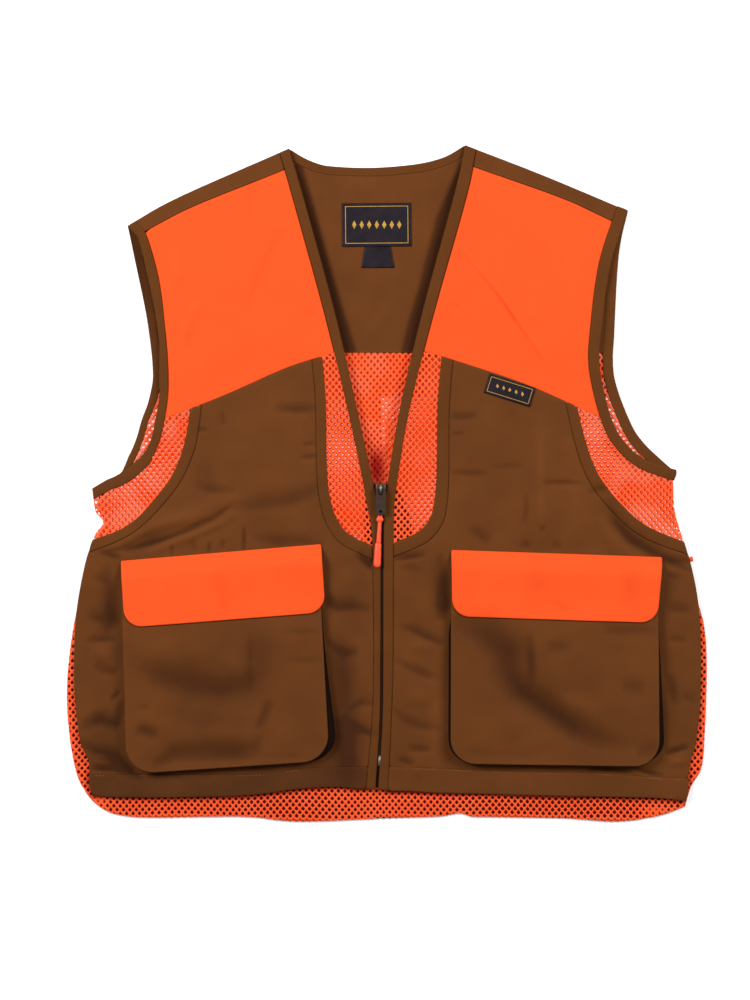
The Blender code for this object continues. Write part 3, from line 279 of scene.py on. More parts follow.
# Tables in millimetres: creases, and then runs of points with x, y, half width and height
FRONT_CREASES = creases_from([
    # Left side, from the side seam up under the underarm strip
    (-294.8, -94.5, -276.7, -98.5, 0, 4, -1.6, 0.2),
    (-298.8, -134.5, -282.8, -137.5, 1, 6, -2.4, 0.3),
    (-300.8, -159.5, -268.7, -157.5, 2, 3.6, -2.4, 0.3),
    (-292.8, -182.5, -267.7, -190.5, -1, 5, -2.6, 0.3),
    (-296.8, -168.5, -272.7, -171.5, 1, 6, 1.6, 0),
    (-302.8, -242.5, -276.7, -229.5, 1, 3.6, -2, 0.3),
    (-274.7, -217.5, -264.7, -206.5, 0, 2.4, -2.2, 0.2),
    (-290.8, -273.5, -274.7, -273.5, 1, 2.6, 1.4, 0.3),
    (-294.8, -285.5, -250.7, -286.5, 1, 3, -6, 0.2),
    (-287.8, -69.5, -264.7, -76.5, 1, 3, -3.4, 0.3),
    # Upper left front
    (-154.7, 13.5, -80.8, 51.5, 4, 26, 1.2, 0), (-112.8, 72.5, -69.8, 72.5, 1, 4.6, -3.2, 0.2),
    (-84.8, 38.5, -68.8, 39.5, 0, 1.9, -1.6, 0), (-86.7, 25.5, -67.8, 26.5, 0, 2.2, -2.4, 0),
    (-188.8, 53.5, -178.7, 52.5, 0, 2.2, -1.8, 0), (-164.8, 71.5, -162.8, 56.5, 0, 2, -1.6, 0.3),
    (-192.8, -3.5, -148.7, -10.5, -1, 4.6, -1.8, 0.3),
    (-142.7, -42.5, -143.2, -69.5, 0, 1.8, -3.4, 0.4),
    (-177.2, -57.5, -177.7, -70.5, 0, 1.8, -2.6, 0.3),
    (-214.2, -61.5, -214.7, -73.5, 0, 1.8, -2.2, 0.3),
    (-163.8, -55.5, -164.3, -66.5, 0, 2.2, -2, 0.2),
    (-196.8, -56.5, -189.8, -69.5, 0, 3.6, -1.4, 0.2),
    (-186.7, 21.5, -172.7, -10.5, 1, 8, -1.2, 0),
    # Between the left pocket and the zip
    (-41.8, -84.5, -36.7, -104.5, 0, 8, 1.2, 0), (-29.7, -69.5, -14.7, -84.5, 0, 4.6, -5.4, 0.2),
    (-28.8, -152.5, -18.7, -210.5, 1, 6, 1, 0), (-28.8, -258.5, -18.7, -296.5, 1, 5, 0.8, 0),
    # Upper right front
    (187.2, 59.5, 195.3, -61.5, 2, 30, 2.4, 0), (150.2, 75.5, 151.2, -61.5, 1, 7, 1.6, 0.7),
    (63.3, 65.5, 91.2, 66.5, 0, 3.6, -2.8, 0.2), (63.3, 48.5, 79.3, 49.5, 0, 2.2, -1.4, 0),
    (63.3, 9.5, 100.3, 8.5, 0, 3, -2, 0.2), (105.2, 14.5, 139.3, 15.5, 1, 3, -1.2, 0.2),
    (154.2, -1.5, 197.3, -2.5, 1, 3.2, -2.2, 0.2), (201.3, -11.5, 229.3, -7.5, 1, 4.2, -2.4, 0.3),
    (138.3, -9.5, 137.3, -42.5, 1, 2.4, -1.8, 0.2), (155.2, -41.5, 155.2, -51.5, 0, 2.6, -2, 0.2),
    (81.3, -45.5, 103.2, -61.5, 1, 5.5, -2.2, 0.3), (132.3, -60.5, 145.2, -64.5, 0, 4, -1.8, 0.2),
    (164.3, -60.5, 175.2, -65.5, 0, 4, -1.8, 0.2), (233.3, 5.5, 253.2, -21.5, 1, 5, -1.2, 0.2),
    # Beside the zip on the right
    (7.3, -77.5, 39.3, -72.5, 1, 3.2, -3.6, 0.4), (15.2, -85.5, 37.2, -91.5, 1, 4, -1, 0.3),
    (21.3, -161.5, 47.3, -164.5, 0, 6, 1.6, 0), (17.3, -210.5, 45.2, -216.5, 0, 7, 1.2, 0),
    (21.3, -265.5, 45.2, -267.5, 0, 3.2, -2.8, 0.3),
    (11.2, -276.5, 27.2, -281.5, 0, 3.2, -2.8, 0.3),
    # Right side
    (279.2, -92.5, 293.3, -95.5, 0, 3.4, -2, 0.2), (279.2, -125.5, 305.3, -128.5, 1, 5, -2.4, 0.2),
    (281.2, -156.5, 301.3, -157.5, 0, 3.4, -1.6, 0.2),
    (280.2, -190.5, 288.3, -224.5, 1, 5, -3, 0.2), (293.3, -212.5, 309.3, -218.5, 0, 5, -1.8, 0.2),
    (277.2, -271.5, 303.3, -264.5, 1, 3, -4.4, 0.4), (281.2, -279.5, 303.3, -275.5, 0, 4, 1.6, 0),
    (199.3, -285.5, 245.2, -289.5, 1, 2.2, -3.2, 0.5),
    (243.2, -283.5, 277.2, -293.5, -1, 2.2, -3.2, 0.5),
    # Chest panels
    (-101.7, 255.5, -140.7, 163.5, -5, 4.5, -1.1, 0.3),
    (-185.7, 185.5, -205.7, 137.5, -3, 6, 1.4, 0.5),
    (-135.8, 302.5, -135.8, 262.5, 0, 4.5, -1.1, 0.3), (-83.8, 168.5, -68.8, 167.5, 0, 4, -1, 0.2),
    (-215.7, 233.5, -212.7, 193.5, 2, 7, 1.5, 0.4),
    (-196.8, 172.5, -196.8, 133.5, 0, 5, -0.9, 0.2), (71.2, 237.5, 161.3, 115.5, 3, 3.4, 1.8, 0.6),
    (93.2, 211.5, 129.3, 157.5, 1, 3, -1.2, 0.2), (167.3, 275.5, 167.3, 175.5, 0, 5, 1, 0.4),
    (62.2, 176.5, 76.2, 173.5, 0, 4, -1, 0.3), (185.2, 233.5, 175.2, 139.5, 3, 12, 1.4, 0.3),
])
FACE_CREASES = creases_from([
    # Left pocket: a sharp fold, a short crease and dents
    (-136.8, -146.5, -135.8, -212.5, 0, 2.6, -1.1, 0.3),
    (-252.7, -168.5, -160.8, -162.5, 4, 14, 1, 0),
    (-117.7, -215.5, -129.8, -246.5, 1, 5, -2.3, 0.4),
    (-250.7, -247.5, -226.8, -253.5, 1, 6, -3, 0.3),
    (-248.7, -224.5, -233.8, -224.5, 0, 3.6, -1, 0.2),
    (-106.7, -149.5, -65.8, -149.5, 0, 3.6, -0.9, 0.2),
    (-99.8, -178.5, -63.8, -178.5, 0, 3.6, -0.7, 0.2),
    (-110.8, -256.5, -74.7, -244.5, 1, 10, 1, 0), (-256.7, -278.5, -68.8, -273.5, 1, 4, -0.6, 0.3),
    # Right pocket: a sharp fold and dents
    (144.2, -150.5, 146.2, -206.5, 0, 4.6, -2.6, -0.4),
    (158.3, -165.5, 186.2, -165.5, 0, 7, -1.8, 0.2), (173.2, -150.5, 217.2, -138.5, 2, 12, 1.6, 0),
    (213.2, -149.5, 273.2, -149.5, 0, 6, -1.6, 0.3),
    (233.3, -203.5, 259.2, -207.5, 0, 9, -1.8, 0.2), (131.3, -260.5, 167.3, -254.5, 1, 8, 1.6, 0),
    (249.2, -273.5, 275.2, -262.5, 1, 7, -1.6, 0.2), (173.2, -216.5, 213.2, -232.5, 2, 9, 1.2, 0),
    (71.2, -268.5, 153.2, -274.5, 0, 5, -0.6, 0.2),
])

# Winding folds: points with x, y, half width and height
FRONT_TROUGHS = metres([
    # Fold from the left side seam up to the middle of the front, with ridges beside it
    [(-272.7, -68, 2.4, -1), (-246.7, -62.5, 2.8, -2.8), (-223.8, -56, 2.8, -3.6),
     (-196.8, -46, 2.4, -3.6), (-171.8, -34.5, 2.2, -3.2), (-154.7, -22.5, 2, -0.8)],
    [(-256.7, -64.5, 5, -1.6), (-236.7, -55.5, 7, -3.6), (-218.8, -47.5, 6, -2.6),
     (-202.8, -42.5, 5, -0.8)],
    [(-238.7, -69.5, 4, 0.6), (-196.8, -53.5, 4, 1.6), (-164.8, -39.5, 4, 1.6),
     (-146.7, -26.5, 4, 0.6)],
    [(-274.7, -62.5, 6, 0.8), (-236.7, -47.5, 8, 1.8), (-186.7, -29.5, 8, 1.8),
     (-150.7, -12.5, 8, 0.8)],
    # Across the upper left front
    [(-150.7, -26.5, 5, -1), (-124.7, -19.5, 8, -2.8), (-96.8, -15.5, 8, -2.8),
     (-64.8, -4.5, 6, -1.4)],
    [(-128.8, -55.5, 4, -1), (-108.7, -57.5, 6, -2.6), (-82.8, -57.5, 5.5, -2.4),
     (-66.8, -61.5, 4, -1.2)],
    # Under the right underarm strip
    [(222.3, -24.5, 3, -1.2), (229.3, -38.5, 5, -4.6), (243.2, -54.5, 6, -6),
     (261.2, -65.5, 5.5, -5), (281.2, -76.5, 4.5, -3.6), (303.3, -87.5, 3, -1.2)],
    [(211.2, -26.5, 5, 0.6), (221.3, -51.5, 7, 1.8), (245.2, -72.5, 6, 1.4),
     (269.2, -82.5, 4, 0.6)],
    # Valley down between the left pocket and the zip, with two folds that run into it
    [(-48.8, -152.5, 6, -1.2), (-44.7, -176.5, 10, -3.4), (-43.7, -206.5, 11, -3.2),
     (-42.8, -228.5, 12, -3.1), (-40.8, -250.5, 14, -5.4), (-39.8, -276.5, 15, -5),
     (-39.8, -304.5, 15, -3.2)],
    [(-44.7, -237.5, 5, -2.8), (-28.8, -243.5, 4.6, -4.4), (-12.7, -250.5, 4, -3.2)],
    [(-32.8, -168.5, 4, -2.6), (-42.8, -167.5, 5, -3.6), (-50.8, -164.5, 5, -3),
     (-56.8, -158.5, 4, -2)],
    [(-36.7, -224.5, 3.2, -1.4), (-24.8, -218.5, 3.4, -3), (-13.8, -220.5, 3, -1.6)],
    [(-60.7, -116.5, 5, -2.2), (-48.8, -122.5, 6, -4.2), (-34.8, -121.5, 6, -3.8),
     (-20.8, -125.5, 4, -1.8)],
    # Beside the right flap, and the folds that it sends towards the zip
    [(53.2, -74.5, 4, -1.5), (55.3, -94.5, 8, -4.4), (55.3, -120.5, 8, -6.6),
     (54.2, -130.5, 6, -3)],
    [(53.2, -159.5, 3.5, -2.4), (41.3, -153.5, 4, -3.4), (27.2, -146.5, 3.8, -3),
     (15.2, -143.5, 3, -0.6)],
    [(49.3, -195.5, 3.5, -2), (33.3, -188.5, 4, -3), (19.2, -182.5, 3.6, -2.2),
     (10.3, -177.5, 3, -0.6)],
    [(51.2, -246.5, 3.5, -1.4), (31.2, -241.5, 4.4, -2.5), (15.2, -234.5, 3.8, -2.2),
     (8.3, -226.5, 3, -0.8)],
    # Left side, beside the pocket
    [(-279.7, -90.5, 5, -2), (-276.7, -108.5, 8, -3.8), (-276.7, -134.5, 9, -5.6),
     (-280.7, -150.5, 6, -2)],
    [(-300.8, -244.5, 4, -1.2), (-286.8, -236.5, 5.5, -3.4), (-270.7, -238.5, 6.5, -3.6),
     (-262.7, -223.5, 4, -1.6)],
    [(-302.8, -261.5, 5, -2.4), (-288.8, -267.5, 5, -3.2), (-272.7, -273.5, 7, -4.5),
     (-262.7, -282.5, 7, -5.6), (-246.7, -292.5, 4, -3)],
    # Right side, below the underarm strip
    [(277.2, -73.5, 3, -1.8), (293.3, -77.5, 3.4, -3), (309.3, -78.5, 3, -1.4)],
])
FACE_TROUGHS = metres([
    # Left pocket: the broad hollow that turns up at its right end, and the bar near the hem
    [(-248.7, -178.5, 9, -0.8), (-224.8, -191.5, 14, -2.8), (-192.8, -200.5, 17, -3.8),
     (-164.8, -204.5, 16, -4), (-140.7, -200.5, 12, -2.8), (-126.8, -184.5, 13, -2.2),
     (-126.8, -166.5, 17, -2.6), (-132.8, -153.5, 12, -1.2)],
    [(-228.8, -281.5, 5, -1.2), (-212.7, -269.5, 8, -3.2), (-182.7, -265.5, 10, -3.4),
     (-150.7, -266.5, 10, -4), (-132.8, -264.5, 8, -2.6), (-124.7, -252.5, 6, -0.8)],
    [(-214.7, -228.5, 10, -0.6), (-180.7, -234.5, 12, -1.5), (-146.7, -238.5, 10, -0.8)],
    # Right pocket: the S-shaped dent
    [(75.2, -140.5, 12, -2), (101.3, -150.5, 18, -3.6), (120.2, -168.5, 18, -4.4),
     (123.2, -188.5, 15, -4), (133.3, -206.5, 12, -4.4), (151.2, -218.5, 12, -4.8),
     (171.3, -231.5, 12.5, -4.7), (187.2, -243.5, 12, -4.6), (213.2, -255.5, 11, -2.8),
     (241.2, -260.5, 8, -0.8)],
])

# The fronts' sharp creases, with the straight pieces of their narrow winding folds
FRONT_FOLDS = sharp(FRONT_CREASES) + [
    Crease(*a[:2], *b[:2], 0.0, (a[2] + b[2]) / 2, 0.0, 0.0)
    for points in FRONT_TROUGHS for a, b in zip(points[:-1], points[1:]) if a[2] < SHARP_CREASE]

# Broad painted shade and painted light on the fronts, which only their colour takes
FRONT_TONES = metres([
    # Left side towards the hem
    [(-286.8, -216.5, 11, -0.3), (-280.7, -246.5, 15, -2), (-278.7, -280.5, 19, -1.9),
     (-266.7, -300.5, 10, -1)],
    # Between the left pocket and the zip
    [(-34.8, -112.5, 12, -0.4), (-34.8, -216.5, 14, -0.7), (-32.8, -300.5, 16, -0.6)],
    # Beside the right pocket: painted light, as lit from the right
    [(49.3, -164.5, 6, 1.4), (49.3, -206.5, 6, 2.6), (49.3, -278.5, 6, 2.2)],
])
FLAP_CREASES = creases_from([
    (-172, -82, -162, -136, 2, 8, -1, 0.3), (-120, -72, -126, -130, 3, 10, 1, 0.3),
    (-230, -82, -224, -140, 0, 10, 0.9, 0.3), (150, -72, 146, -134, 0, 12, -1, 0.3),
    (238, -74, 242, -138, 0, 10, -1.3, 0.5), (164, -118, 178, -132, 0, 5, -1, 0.3),
    (95, -70, 100, -130, 0, 9, 0.9, 0.3),
])
YOKE_CREASES = creases_from([
    (-70, 290, 50, 285, 6, 12, 0.9, 0.3), (-62, 300, -50, 230, 3, 6, 0.9, 0.3),
    (10, 200, -20, 145, 3, 8, 0.8, 0.3), (46, 270, 34, 190, 2, 7, 0.9, 0.3),
])
# Painted shadows that the front bindings cast on the yoke beside the neck's opening, and a faint
# painted shade across its top; only the yoke's colour takes them
YOKE_SHADES = metres([
    [(-88.7, 318.8, 3.3, -9.9), (-75.9, 271.9, 3.8, -11.6), (-65.8, 231.1, 4.3, -12.7),
     (-58.1, 202.5, 4.7, -12.7), (-48.4, 169.8, 4.9, -12.7), (-38.1, 137.2, 4.7, -12.7),
     (-34.9, 127, 4.7, -12.7)],
    [(76.1, 315, 3.8, -9.3), (70.6, 301.5, 4.3, -10.2), (55.9, 265, 5.2, -10.5),
     (47.1, 228.6, 5.5, -11.9), (37.9, 192.2, 5.3, -12.7), (26.7, 155.9, 5.1, -12.7),
     (22.4, 137.7, 5.1, -12.7), (20.1, 127, 5.1, -12.7)],
    [(-70, 313, 5, 0), (-5, 313, 5, -0.8), (60, 313, 5, 0)],
])
# Painted shadow on the left back armhole binding, beside the front binding; only its colour takes
# it
ARM_SHADES = metres([
    [(-259.2, 255.5, 6, -3), (-255.7, 245.5, 6.5, -4.4), (-250.7, 225.5, 6.5, -4.6),
     (-244.7, 198.5, 6.5, -4.4), (-240.7, 180.5, 6.5, -3.6), (-236.7, 161.5, 7, -2.4),
     (-231.8, 138.5, 7, -1.9), (-229.8, 113.5, 7, -1.7), (-229.8, 83.5, 7, -1.5),
     (-234.7, 53.5, 7, -0.8)],
])

# Edges that lie a little aside from the solids': a direction, and places with their half width
# and how far the edge is moved there
ASIDE = {
    "chest_panel_left": [
        ((1.0, 0.0), metres([(-246.2, 253.5, 6, 3.2), (-243.6, 246.9, 6, 3.4),
          (-238.9, 238.6, 6, 2.5), (-235.2, 230.4, 6, 1.9), (-232.8, 222.1, 6, 1.4),
          (-231.1, 213.8, 6, 1.4), (-229.4, 205.5, 6, 1.5), (-227.8, 197.2, 6, 1.3),
          (-224.8, 180.6, 6, 0.8), (-222.3, 164.1, 6, 0.2)])),
    ],
    "armhole_binding_left": [
        ((1.0, 0.0), metres([(-256, 252, 4, 2), (-253.9, 246.9, 4, 4.5), (-251, 238.6, 4, 4),
          (-247.1, 230.4, 4, 2), (-244, 222.1, 4, 1.6), (-241.4, 213.8, 4, 0.9),
          (-238.2, 197.2, 4, 1.7), (-235.6, 180.6, 4, 2.4), (-232.8, 164.1, 4, 2.9),
          (-230.8, 147.5, 4, 3), (-229.3, 131.5, 4, 2), (-227.8, 119.5, 4, 1.2),
          (-225.8, 109.5, 4, 0.3)])),
        ((1.0, 0.0), metres([(-246.2, 253.5, 4.5, 3.6), (-243.6, 246.9, 4, 3.6),
          (-238.9, 238.6, 4, 2.7), (-235.2, 230.4, 4, 1.9), (-232.8, 222.1, 4, 1.6),
          (-231.1, 213.8, 4, 1.6), (-229.4, 205.5, 4, 1.8), (-227.8, 197.2, 4, 1.7),
          (-224.8, 180.6, 4, 1.2), (-222.3, 164.1, 4, 0.5), (-220.8, 147.5, 4, 0.3)])),
        ((0.65, -0.76), metres([(-236.7, 28.5, 4, 0.6), (-239.2, 23.5, 4, 2.6),
          (-246.2, 15.5, 4, 2.7), (-255.2, 7.5, 4, 2.8), (-266.7, 0, 4, 2.4),
          (-273.7, -3.5, 4, 0.4)])),
        ((-0.45, 0.89), metres([(-272.7, 6.5, 4, 0.3), (-278.7, 3.5, 4, 1.3), (-287.8, -0.5, 4, 1),
          (-292.8, -3.5, 4, 0.4)])),
        ((1.0, 0.0), metres([(-222.8, 107.5, 6, 0.2), (-224.8, 91.5, 7, 1.5),
          (-226.8, 73.5, 8, 1.4), (-227.8, 63.5, 8, 0.9), (-230.3, 53.5, 8, 1.4),
          (-233.3, 43.5, 8, 1.7), (-238.2, 33.5, 8, 1.9), (-244.7, 23.5, 5, 1.8),
          (-250.7, 15.5, 4, 0.2)])),
    ],
    "back_arm_binding_left": [
        ((-1.0, 0.0), metres([(-229.3, 101.5, 4, 0.6), (-230.8, 89.5, 4, 2), (-232.8, 76.5, 4, 2),
          (-236.2, 63.5, 4, 1.9), (-239.2, 53.5, 4, 1.8), (-242.2, 43.5, 4, 2.2),
          (-246.2, 33.5, 4, 1.8), (-248.2, 28.5, 4, 2), (-250.7, 21.5, 4, 1.2)])),
    ],
    "armhole_binding_right": [
        ((1.0, 0.0), metres([(285.3, 17.5, 3, 0.3), (285.8, 12.5, 3, 3.4), (285.3, 8.5, 3, 3),
          (284.3, 4.5, 3, 0.8)])),
    ],
    "lower_front_right": [
        ((1.0, 0.0), metres([(318.2, -166.5, 4, 0.4), (317.7, -196.5, 4, 1.9),
          (316.2, -216.5, 4, 3.4), (314.2, -236.5, 4, 2.9), (311.3, -256.5, 4, 2.2),
          (307.3, -271.5, 4, 2), (304.3, -286.5, 4, 2.2)])),
    ],
    "hem_band_right": [
        ((1.0, 0.0), metres([(304.3, -284.5, 4, 2.2), (303.3, -290.5, 4, 2.2),
          (301.3, -300.5, 4, 1.6), (299.3, -310.5, 4, 1.6)])),
        ((0.0, -1.0), metres([(-6.7, -305.5, 5, 1.7), (5.3, -305.5, 5, 1.5),
          (17.3, -305.5, 5, 0.3)])),
    ],
    "hem_band_left": [
        ((0.0, -1.0), metres([(-56.8, -305.5, 5, 0.2), (-42.8, -305.5, 5, 0.6),
          (-32.8, -305.5, 5, 1.6), (-8.8, -305.5, 5, 1.7)])),
    ],
    "front_binding_left": [
        ((0.0, -1.0), metres([(-24.8, -303.5, 5, 1.7), (-6.7, -303.5, 5, 1.7)])),
    ],
    "front_binding_right": [
        ((0.0, -1.0), metres([(-12.7, -303.5, 5, 1.7), (7.3, -303.5, 5, 1.7)])),
    ],
    "size_tab": [
        ((1.0, 0.0), metres([(-22.7, 239.5, 3, 1.7), (-22.7, 226.5, 3, -0.4),
          (-22.7, 214.5, 3, -2.4)])),
        ((1.0, 0.0), metres([(6.3, 239.5, 3, -2.8), (6.3, 226.5, 3, -0.3), (6.3, 214.5, 3, 1.9)])),
    ],
}


def new_object(name, verts, polygons, look, smooth=True):
    """A mesh object in the scene, with one material."""
    mesh = bpy.data.meshes.new(name)
    mesh.from_pydata(verts, [], polygons)
    if smooth:
        mesh.shade_smooth()
    mesh.materials.append(look)
    return placed(name, mesh)


def placed(name, data):
    obj = bpy.data.objects.new(name, data)
    bpy.context.scene.collection.objects.link(obj)
    return obj


def painted(obj, name, values):
    """Stores a value for each point, which a material reads."""
    layer = obj.data.attributes.new(name, "FLOAT", "POINT")
    layer.data.foreach_set("value", values.astype(np.float32))


def measured(line):
    """The length of a line, and a function for its points at distances along it."""
    steps = np.linalg.norm(np.diff(line, axis=0), axis=1)
    at = np.concatenate([[0.0], np.cumsum(steps)])

    def along(distance):
        return np.column_stack([np.interp(distance, at, line[:, k]) for k in (0, 1)])
    return at[-1], along


def crossed(points, closed):
    """Unit normals to the left of the way along an array of points."""
    if closed:
        ways = np.roll(points, -1, 0) - np.roll(points, 1, 0)
    else:
        ways = np.gradient(points, axis=0)
    ways /= np.maximum(np.linalg.norm(ways, axis=1), 1e-12)[:, None]
    return np.stack([-ways[:, 1], ways[:, 0]], 1)


class Relief:
    """The smoothed underside of some solids, as a height for any place."""

    def __init__(self, names):
        verts = []
        faces = []
        for name in names:
            mesh = frame["nodes"][name].data
            first = len(verts)
            verts += [vert.co.copy() for vert in mesh.vertices]
            faces += [[first + v for v in polygon.vertices] for polygon in mesh.polygons]
        tree = BVHTree.FromPolygons(verts, faces)
        self.low = np.array(CAD_BOX[0])[:2] - FIELD_MARGIN
        high = np.array(CAD_BOX[1])[:2] + FIELD_MARGIN
        count = np.ceil((high - self.low) / FIELD_PITCH).astype(int) + 1
        grid = np.full(count, np.nan)
        for i in range(count[0]):
            for j in range(count[1]):
                x, y = self.low + np.array([i, j]) * FIELD_PITCH
                hit = tree.ray_cast(Vector((x, y, -1.0)), Vector((0.0, 0.0, 1.0)))
                if hit[0] is not None:
                    grid[i, j] = hit[0].z
        self.grid = blurred(spread(grid))

    def __call__(self, places):
        at = (places - self.low) / FIELD_PITCH
        cell = np.clip(at.astype(int), 0, np.array(self.grid.shape) - 2)
        u, v = (at - cell).T
        i, j = cell.T
        g = self.grid
        return ((1 - u) * (1 - v) * g[i, j] + u * (1 - v) * g[i + 1, j]
                + (1 - u) * v * g[i, j + 1] + u * v * g[i + 1, j + 1])


def spread(grid):
    """The grid with its empty cells filled from their nearest filled neighbours."""
    grid = grid.copy()
    while np.isnan(grid).any():
        padded = np.pad(grid, 1, constant_values=np.nan)
        around = np.stack([padded[1 + a:padded.shape[0] - 1 + a, 1 + b:padded.shape[1] - 1 + b]
                           for a in (-1, 0, 1) for b in (-1, 0, 1)])
        known = ~np.isnan(around)
        mean = np.where(known, around, 0.0).sum(0) / np.maximum(known.sum(0), 1)
        grid = np.where(np.isnan(grid) & known.any(0), mean, grid)
    return grid


def blurred(grid):
    reach = int(3 * FIELD_BLUR)
    weights = np.exp(-0.5 * (np.arange(-reach, reach + 1) / FIELD_BLUR) ** 2)
    weights /= weights.sum()
    for axis in (0, 1):
        padded = np.pad(grid, [(reach, reach) if a == axis else (0, 0) for a in (0, 1)], "edge")
        grid = np.apply_along_axis(lambda line: np.convolve(line, weights, "valid"), axis, padded)
    return grid


def creased(places, creases):
    """Height that a table of soft creases adds at each place."""
    total = np.zeros(len(places))
    for crease in creases:
        start = np.array([crease.x0, crease.y0])
        way = np.array([crease.x1, crease.y1]) - start
        length = np.linalg.norm(way)
        way /= length
        offset = places - start
        share = offset @ way / length
        inside = np.clip(share, 0.0, 1.0)
        across = offset @ np.array([-way[1], way[0]]) - crease.bend * 4 * inside * (1 - inside)
        side = across / crease.width
        taper = np.sin(math.pi * inside) ** 0.7
        total += crease.height * taper * np.exp(-side ** 2) * (1 + 2 * crease.skew * side)
    return total


def wound(places, troughs):
    """Height that a table of winding folds adds: the strongest part of each fold counts."""
    total = np.zeros(len(places))
    for points in troughs:
        points = np.array(points)
        strongest = np.zeros(len(places))
        for a, b in zip(points[:-1], points[1:]):
            way = b[:2] - a[:2]
            share = np.clip((places - a[:2]) @ way / (way @ way), 0.0, 1.0)
            far = np.linalg.norm(places - a[:2] - share[:, None] * way, axis=1)
            width = a[2] + (b[2] - a[2]) * share
            value = (a[3] + (b[3] - a[3]) * share) * np.exp(-(far / width) ** 2)
            strongest = np.where(np.abs(value) > np.abs(strongest), value, strongest)
        total += strongest
    return total


# The fronts' folds: heights for the cloth, which the fronts' colour also takes as painted shade and
# light
def on_front(places):
    return creased(places, FRONT_CREASES) + wound(places, FRONT_TROUGHS)


def aside(loop, node):
    """How far the parts of an outline lie beside the solid's."""
    moved = np.zeros_like(loop)
    for way, points in ASIDE.get(node, ()):
        moved += wound(loop, [points])[:, None] * np.array(way)
    return moved


# The fronts' painted shade and light: their folds and broad tones
def front_shade(places):
    return on_front(places) + wound(places, FRONT_TONES)


# The pocket faces' folds, which their colour also takes as painted shade and light
def on_face(places):
    return creased(places, FACE_CREASES) + wound(places, FACE_TROUGHS)


# The flaps' creases, which their colour also takes as painted shade and light
def on_flap(places):
    return creased(places, FLAP_CREASES)


# Painted shadows on the yoke beside the front bindings
def shade_beside_front(places):
    return wound(places, YOKE_SHADES)


# Painted shadow on the left back armhole binding
def shade_behind_front(places):
    return wound(places, ARM_SHADES)


def ripple(places, size, height, seed):
    """Gentle unevenness of cloth that has been folded and worn, never below its height."""
    return height * np.array([0.5 + 0.5 * noise.noise(Vector((x / size, y / size, seed)))
                              for x, y in places])


def rim_of(name, longest=LONG_RUN, sharpest=CORNER):
    """Outline of a solid seen from above: a smooth closed curve with its corners kept."""
    mesh = frame["nodes"][name].data
    places = {}
    after = {}
    for polygon in mesh.polygons:
        if polygon.normal.z < UP:
            continue
        keys = []
        for index in polygon.vertices:
            co = mesh.vertices[index].co
            key = (round(co.x * SAME), round(co.y * SAME))
            places[key] = (co.x, co.y)
            keys.append(key)
        for a, b in zip(keys, keys[1:] + keys[:1]):
            after.setdefault(a, set()).add(b)
    border = {a: b for a, nexts in after.items() for b in nexts if a not in after.get(b, ())}
    loops = []
    while border:
        key, following = border.popitem()
        loop = [key]
        while following in border:
            loop.append(following)
            following = border.pop(following)
        loops.append(np.array([places[k] for k in loop]))
    return smooth_rim(max(loops, key=lambda loop: abs(area_of(loop))), longest, sharpest)


def area_of(loop):
    following = np.roll(loop, -1, 0)
    return 0.5 * (loop[:, 0] * following[:, 1] - following[:, 0] * loop[:, 1]).sum()


def turning(loop):
    into = loop - np.roll(loop, 1, 0)
    out = np.roll(loop, -1, 0) - loop
    cross = into[:, 0] * out[:, 1] - into[:, 1] * out[:, 0]
    return np.abs(np.arctan2(cross, (into * out).sum(1)))


def smooth_rim(loop, longest, sharpest):
    """The loop without the points on its straight runs, drawn again as a curve between corners."""
    if area_of(loop) < 0:
        loop = loop[::-1]
    loop = loop[turning(loop) > STRAIGHT]
    corner = turning(loop) > sharpest
    ways = np.roll(loop, -1, 0) - loop
    lengths = np.linalg.norm(ways, axis=1)
    slope = ways / lengths[:, None]
    weight = np.where(lengths > longest, 1e6, 1 / lengths)
    weight_before = np.roll(weight, 1)
    tangents = np.roll(slope, 1, 0) * weight_before[:, None] + slope * weight[:, None]
    tangents /= np.linalg.norm(tangents, axis=1)[:, None]
    points = []
    count = len(loop)
    for k in range(count):
        n = (k + 1) % count
        start, end, length = loop[k], loop[n], lengths[k]
        leave = slope[k] if corner[k] else tangents[k]
        arrive = slope[k] if corner[n] else tangents[n]
        steps = max(1, round(length / RIM_STEP))
        for t in np.arange(steps) / steps:
            points.append((2 * t ** 3 - 3 * t * t + 1) * start
                          + (t ** 3 - 2 * t * t + t) * length * leave
                          + (3 * t * t - 2 * t ** 3) * end
                          + (t ** 3 - t * t) * length * arrive)
    return np.array(points)


def inset(loop, distance):
    """A counter-clockwise loop drawn in by a distance, or out where it is negative."""
    return loop + crossed(loop, True) * distance


def from_rim(places, loop):
    """Signed distance of each place inside a loop, and the nearest point of the loop."""
    start = loop
    way = np.roll(loop, -1, 0) - loop
    square = np.maximum((way ** 2).sum(1), 1e-18)
    distances = np.empty(len(places))
    nearest = np.empty((len(places), 2))
    for first in range(0, len(places), 2000):
        part = places[first:first + 2000]
        offset = part[:, None, :] - start[None]
        share = np.clip((offset * way[None]).sum(2) / square, 0.0, 1.0)
        foot = start[None] + share[..., None] * way[None]
        far = np.linalg.norm(part[:, None, :] - foot, axis=2)
        best = far.argmin(1)
        rows = np.arange(len(part))
        y = part[:, 1, None]
        ends = start + way
        spans = (start[:, 1] > y) != (ends[:, 1] > y)
        rise = np.where(np.abs(way[:, 1]) < 1e-12, 1e-12, way[:, 1])
        cut = start[:, 0] + (y - start[:, 1]) * way[:, 0] / rise
        inside = (spans & (part[:, 0, None] < cut)).sum(1) % 2 == 1
        distances[first:first + 2000] = np.where(inside, far[rows, best], -far[rows, best])
        nearest[first:first + 2000] = foot[rows, best]
    return distances, nearest


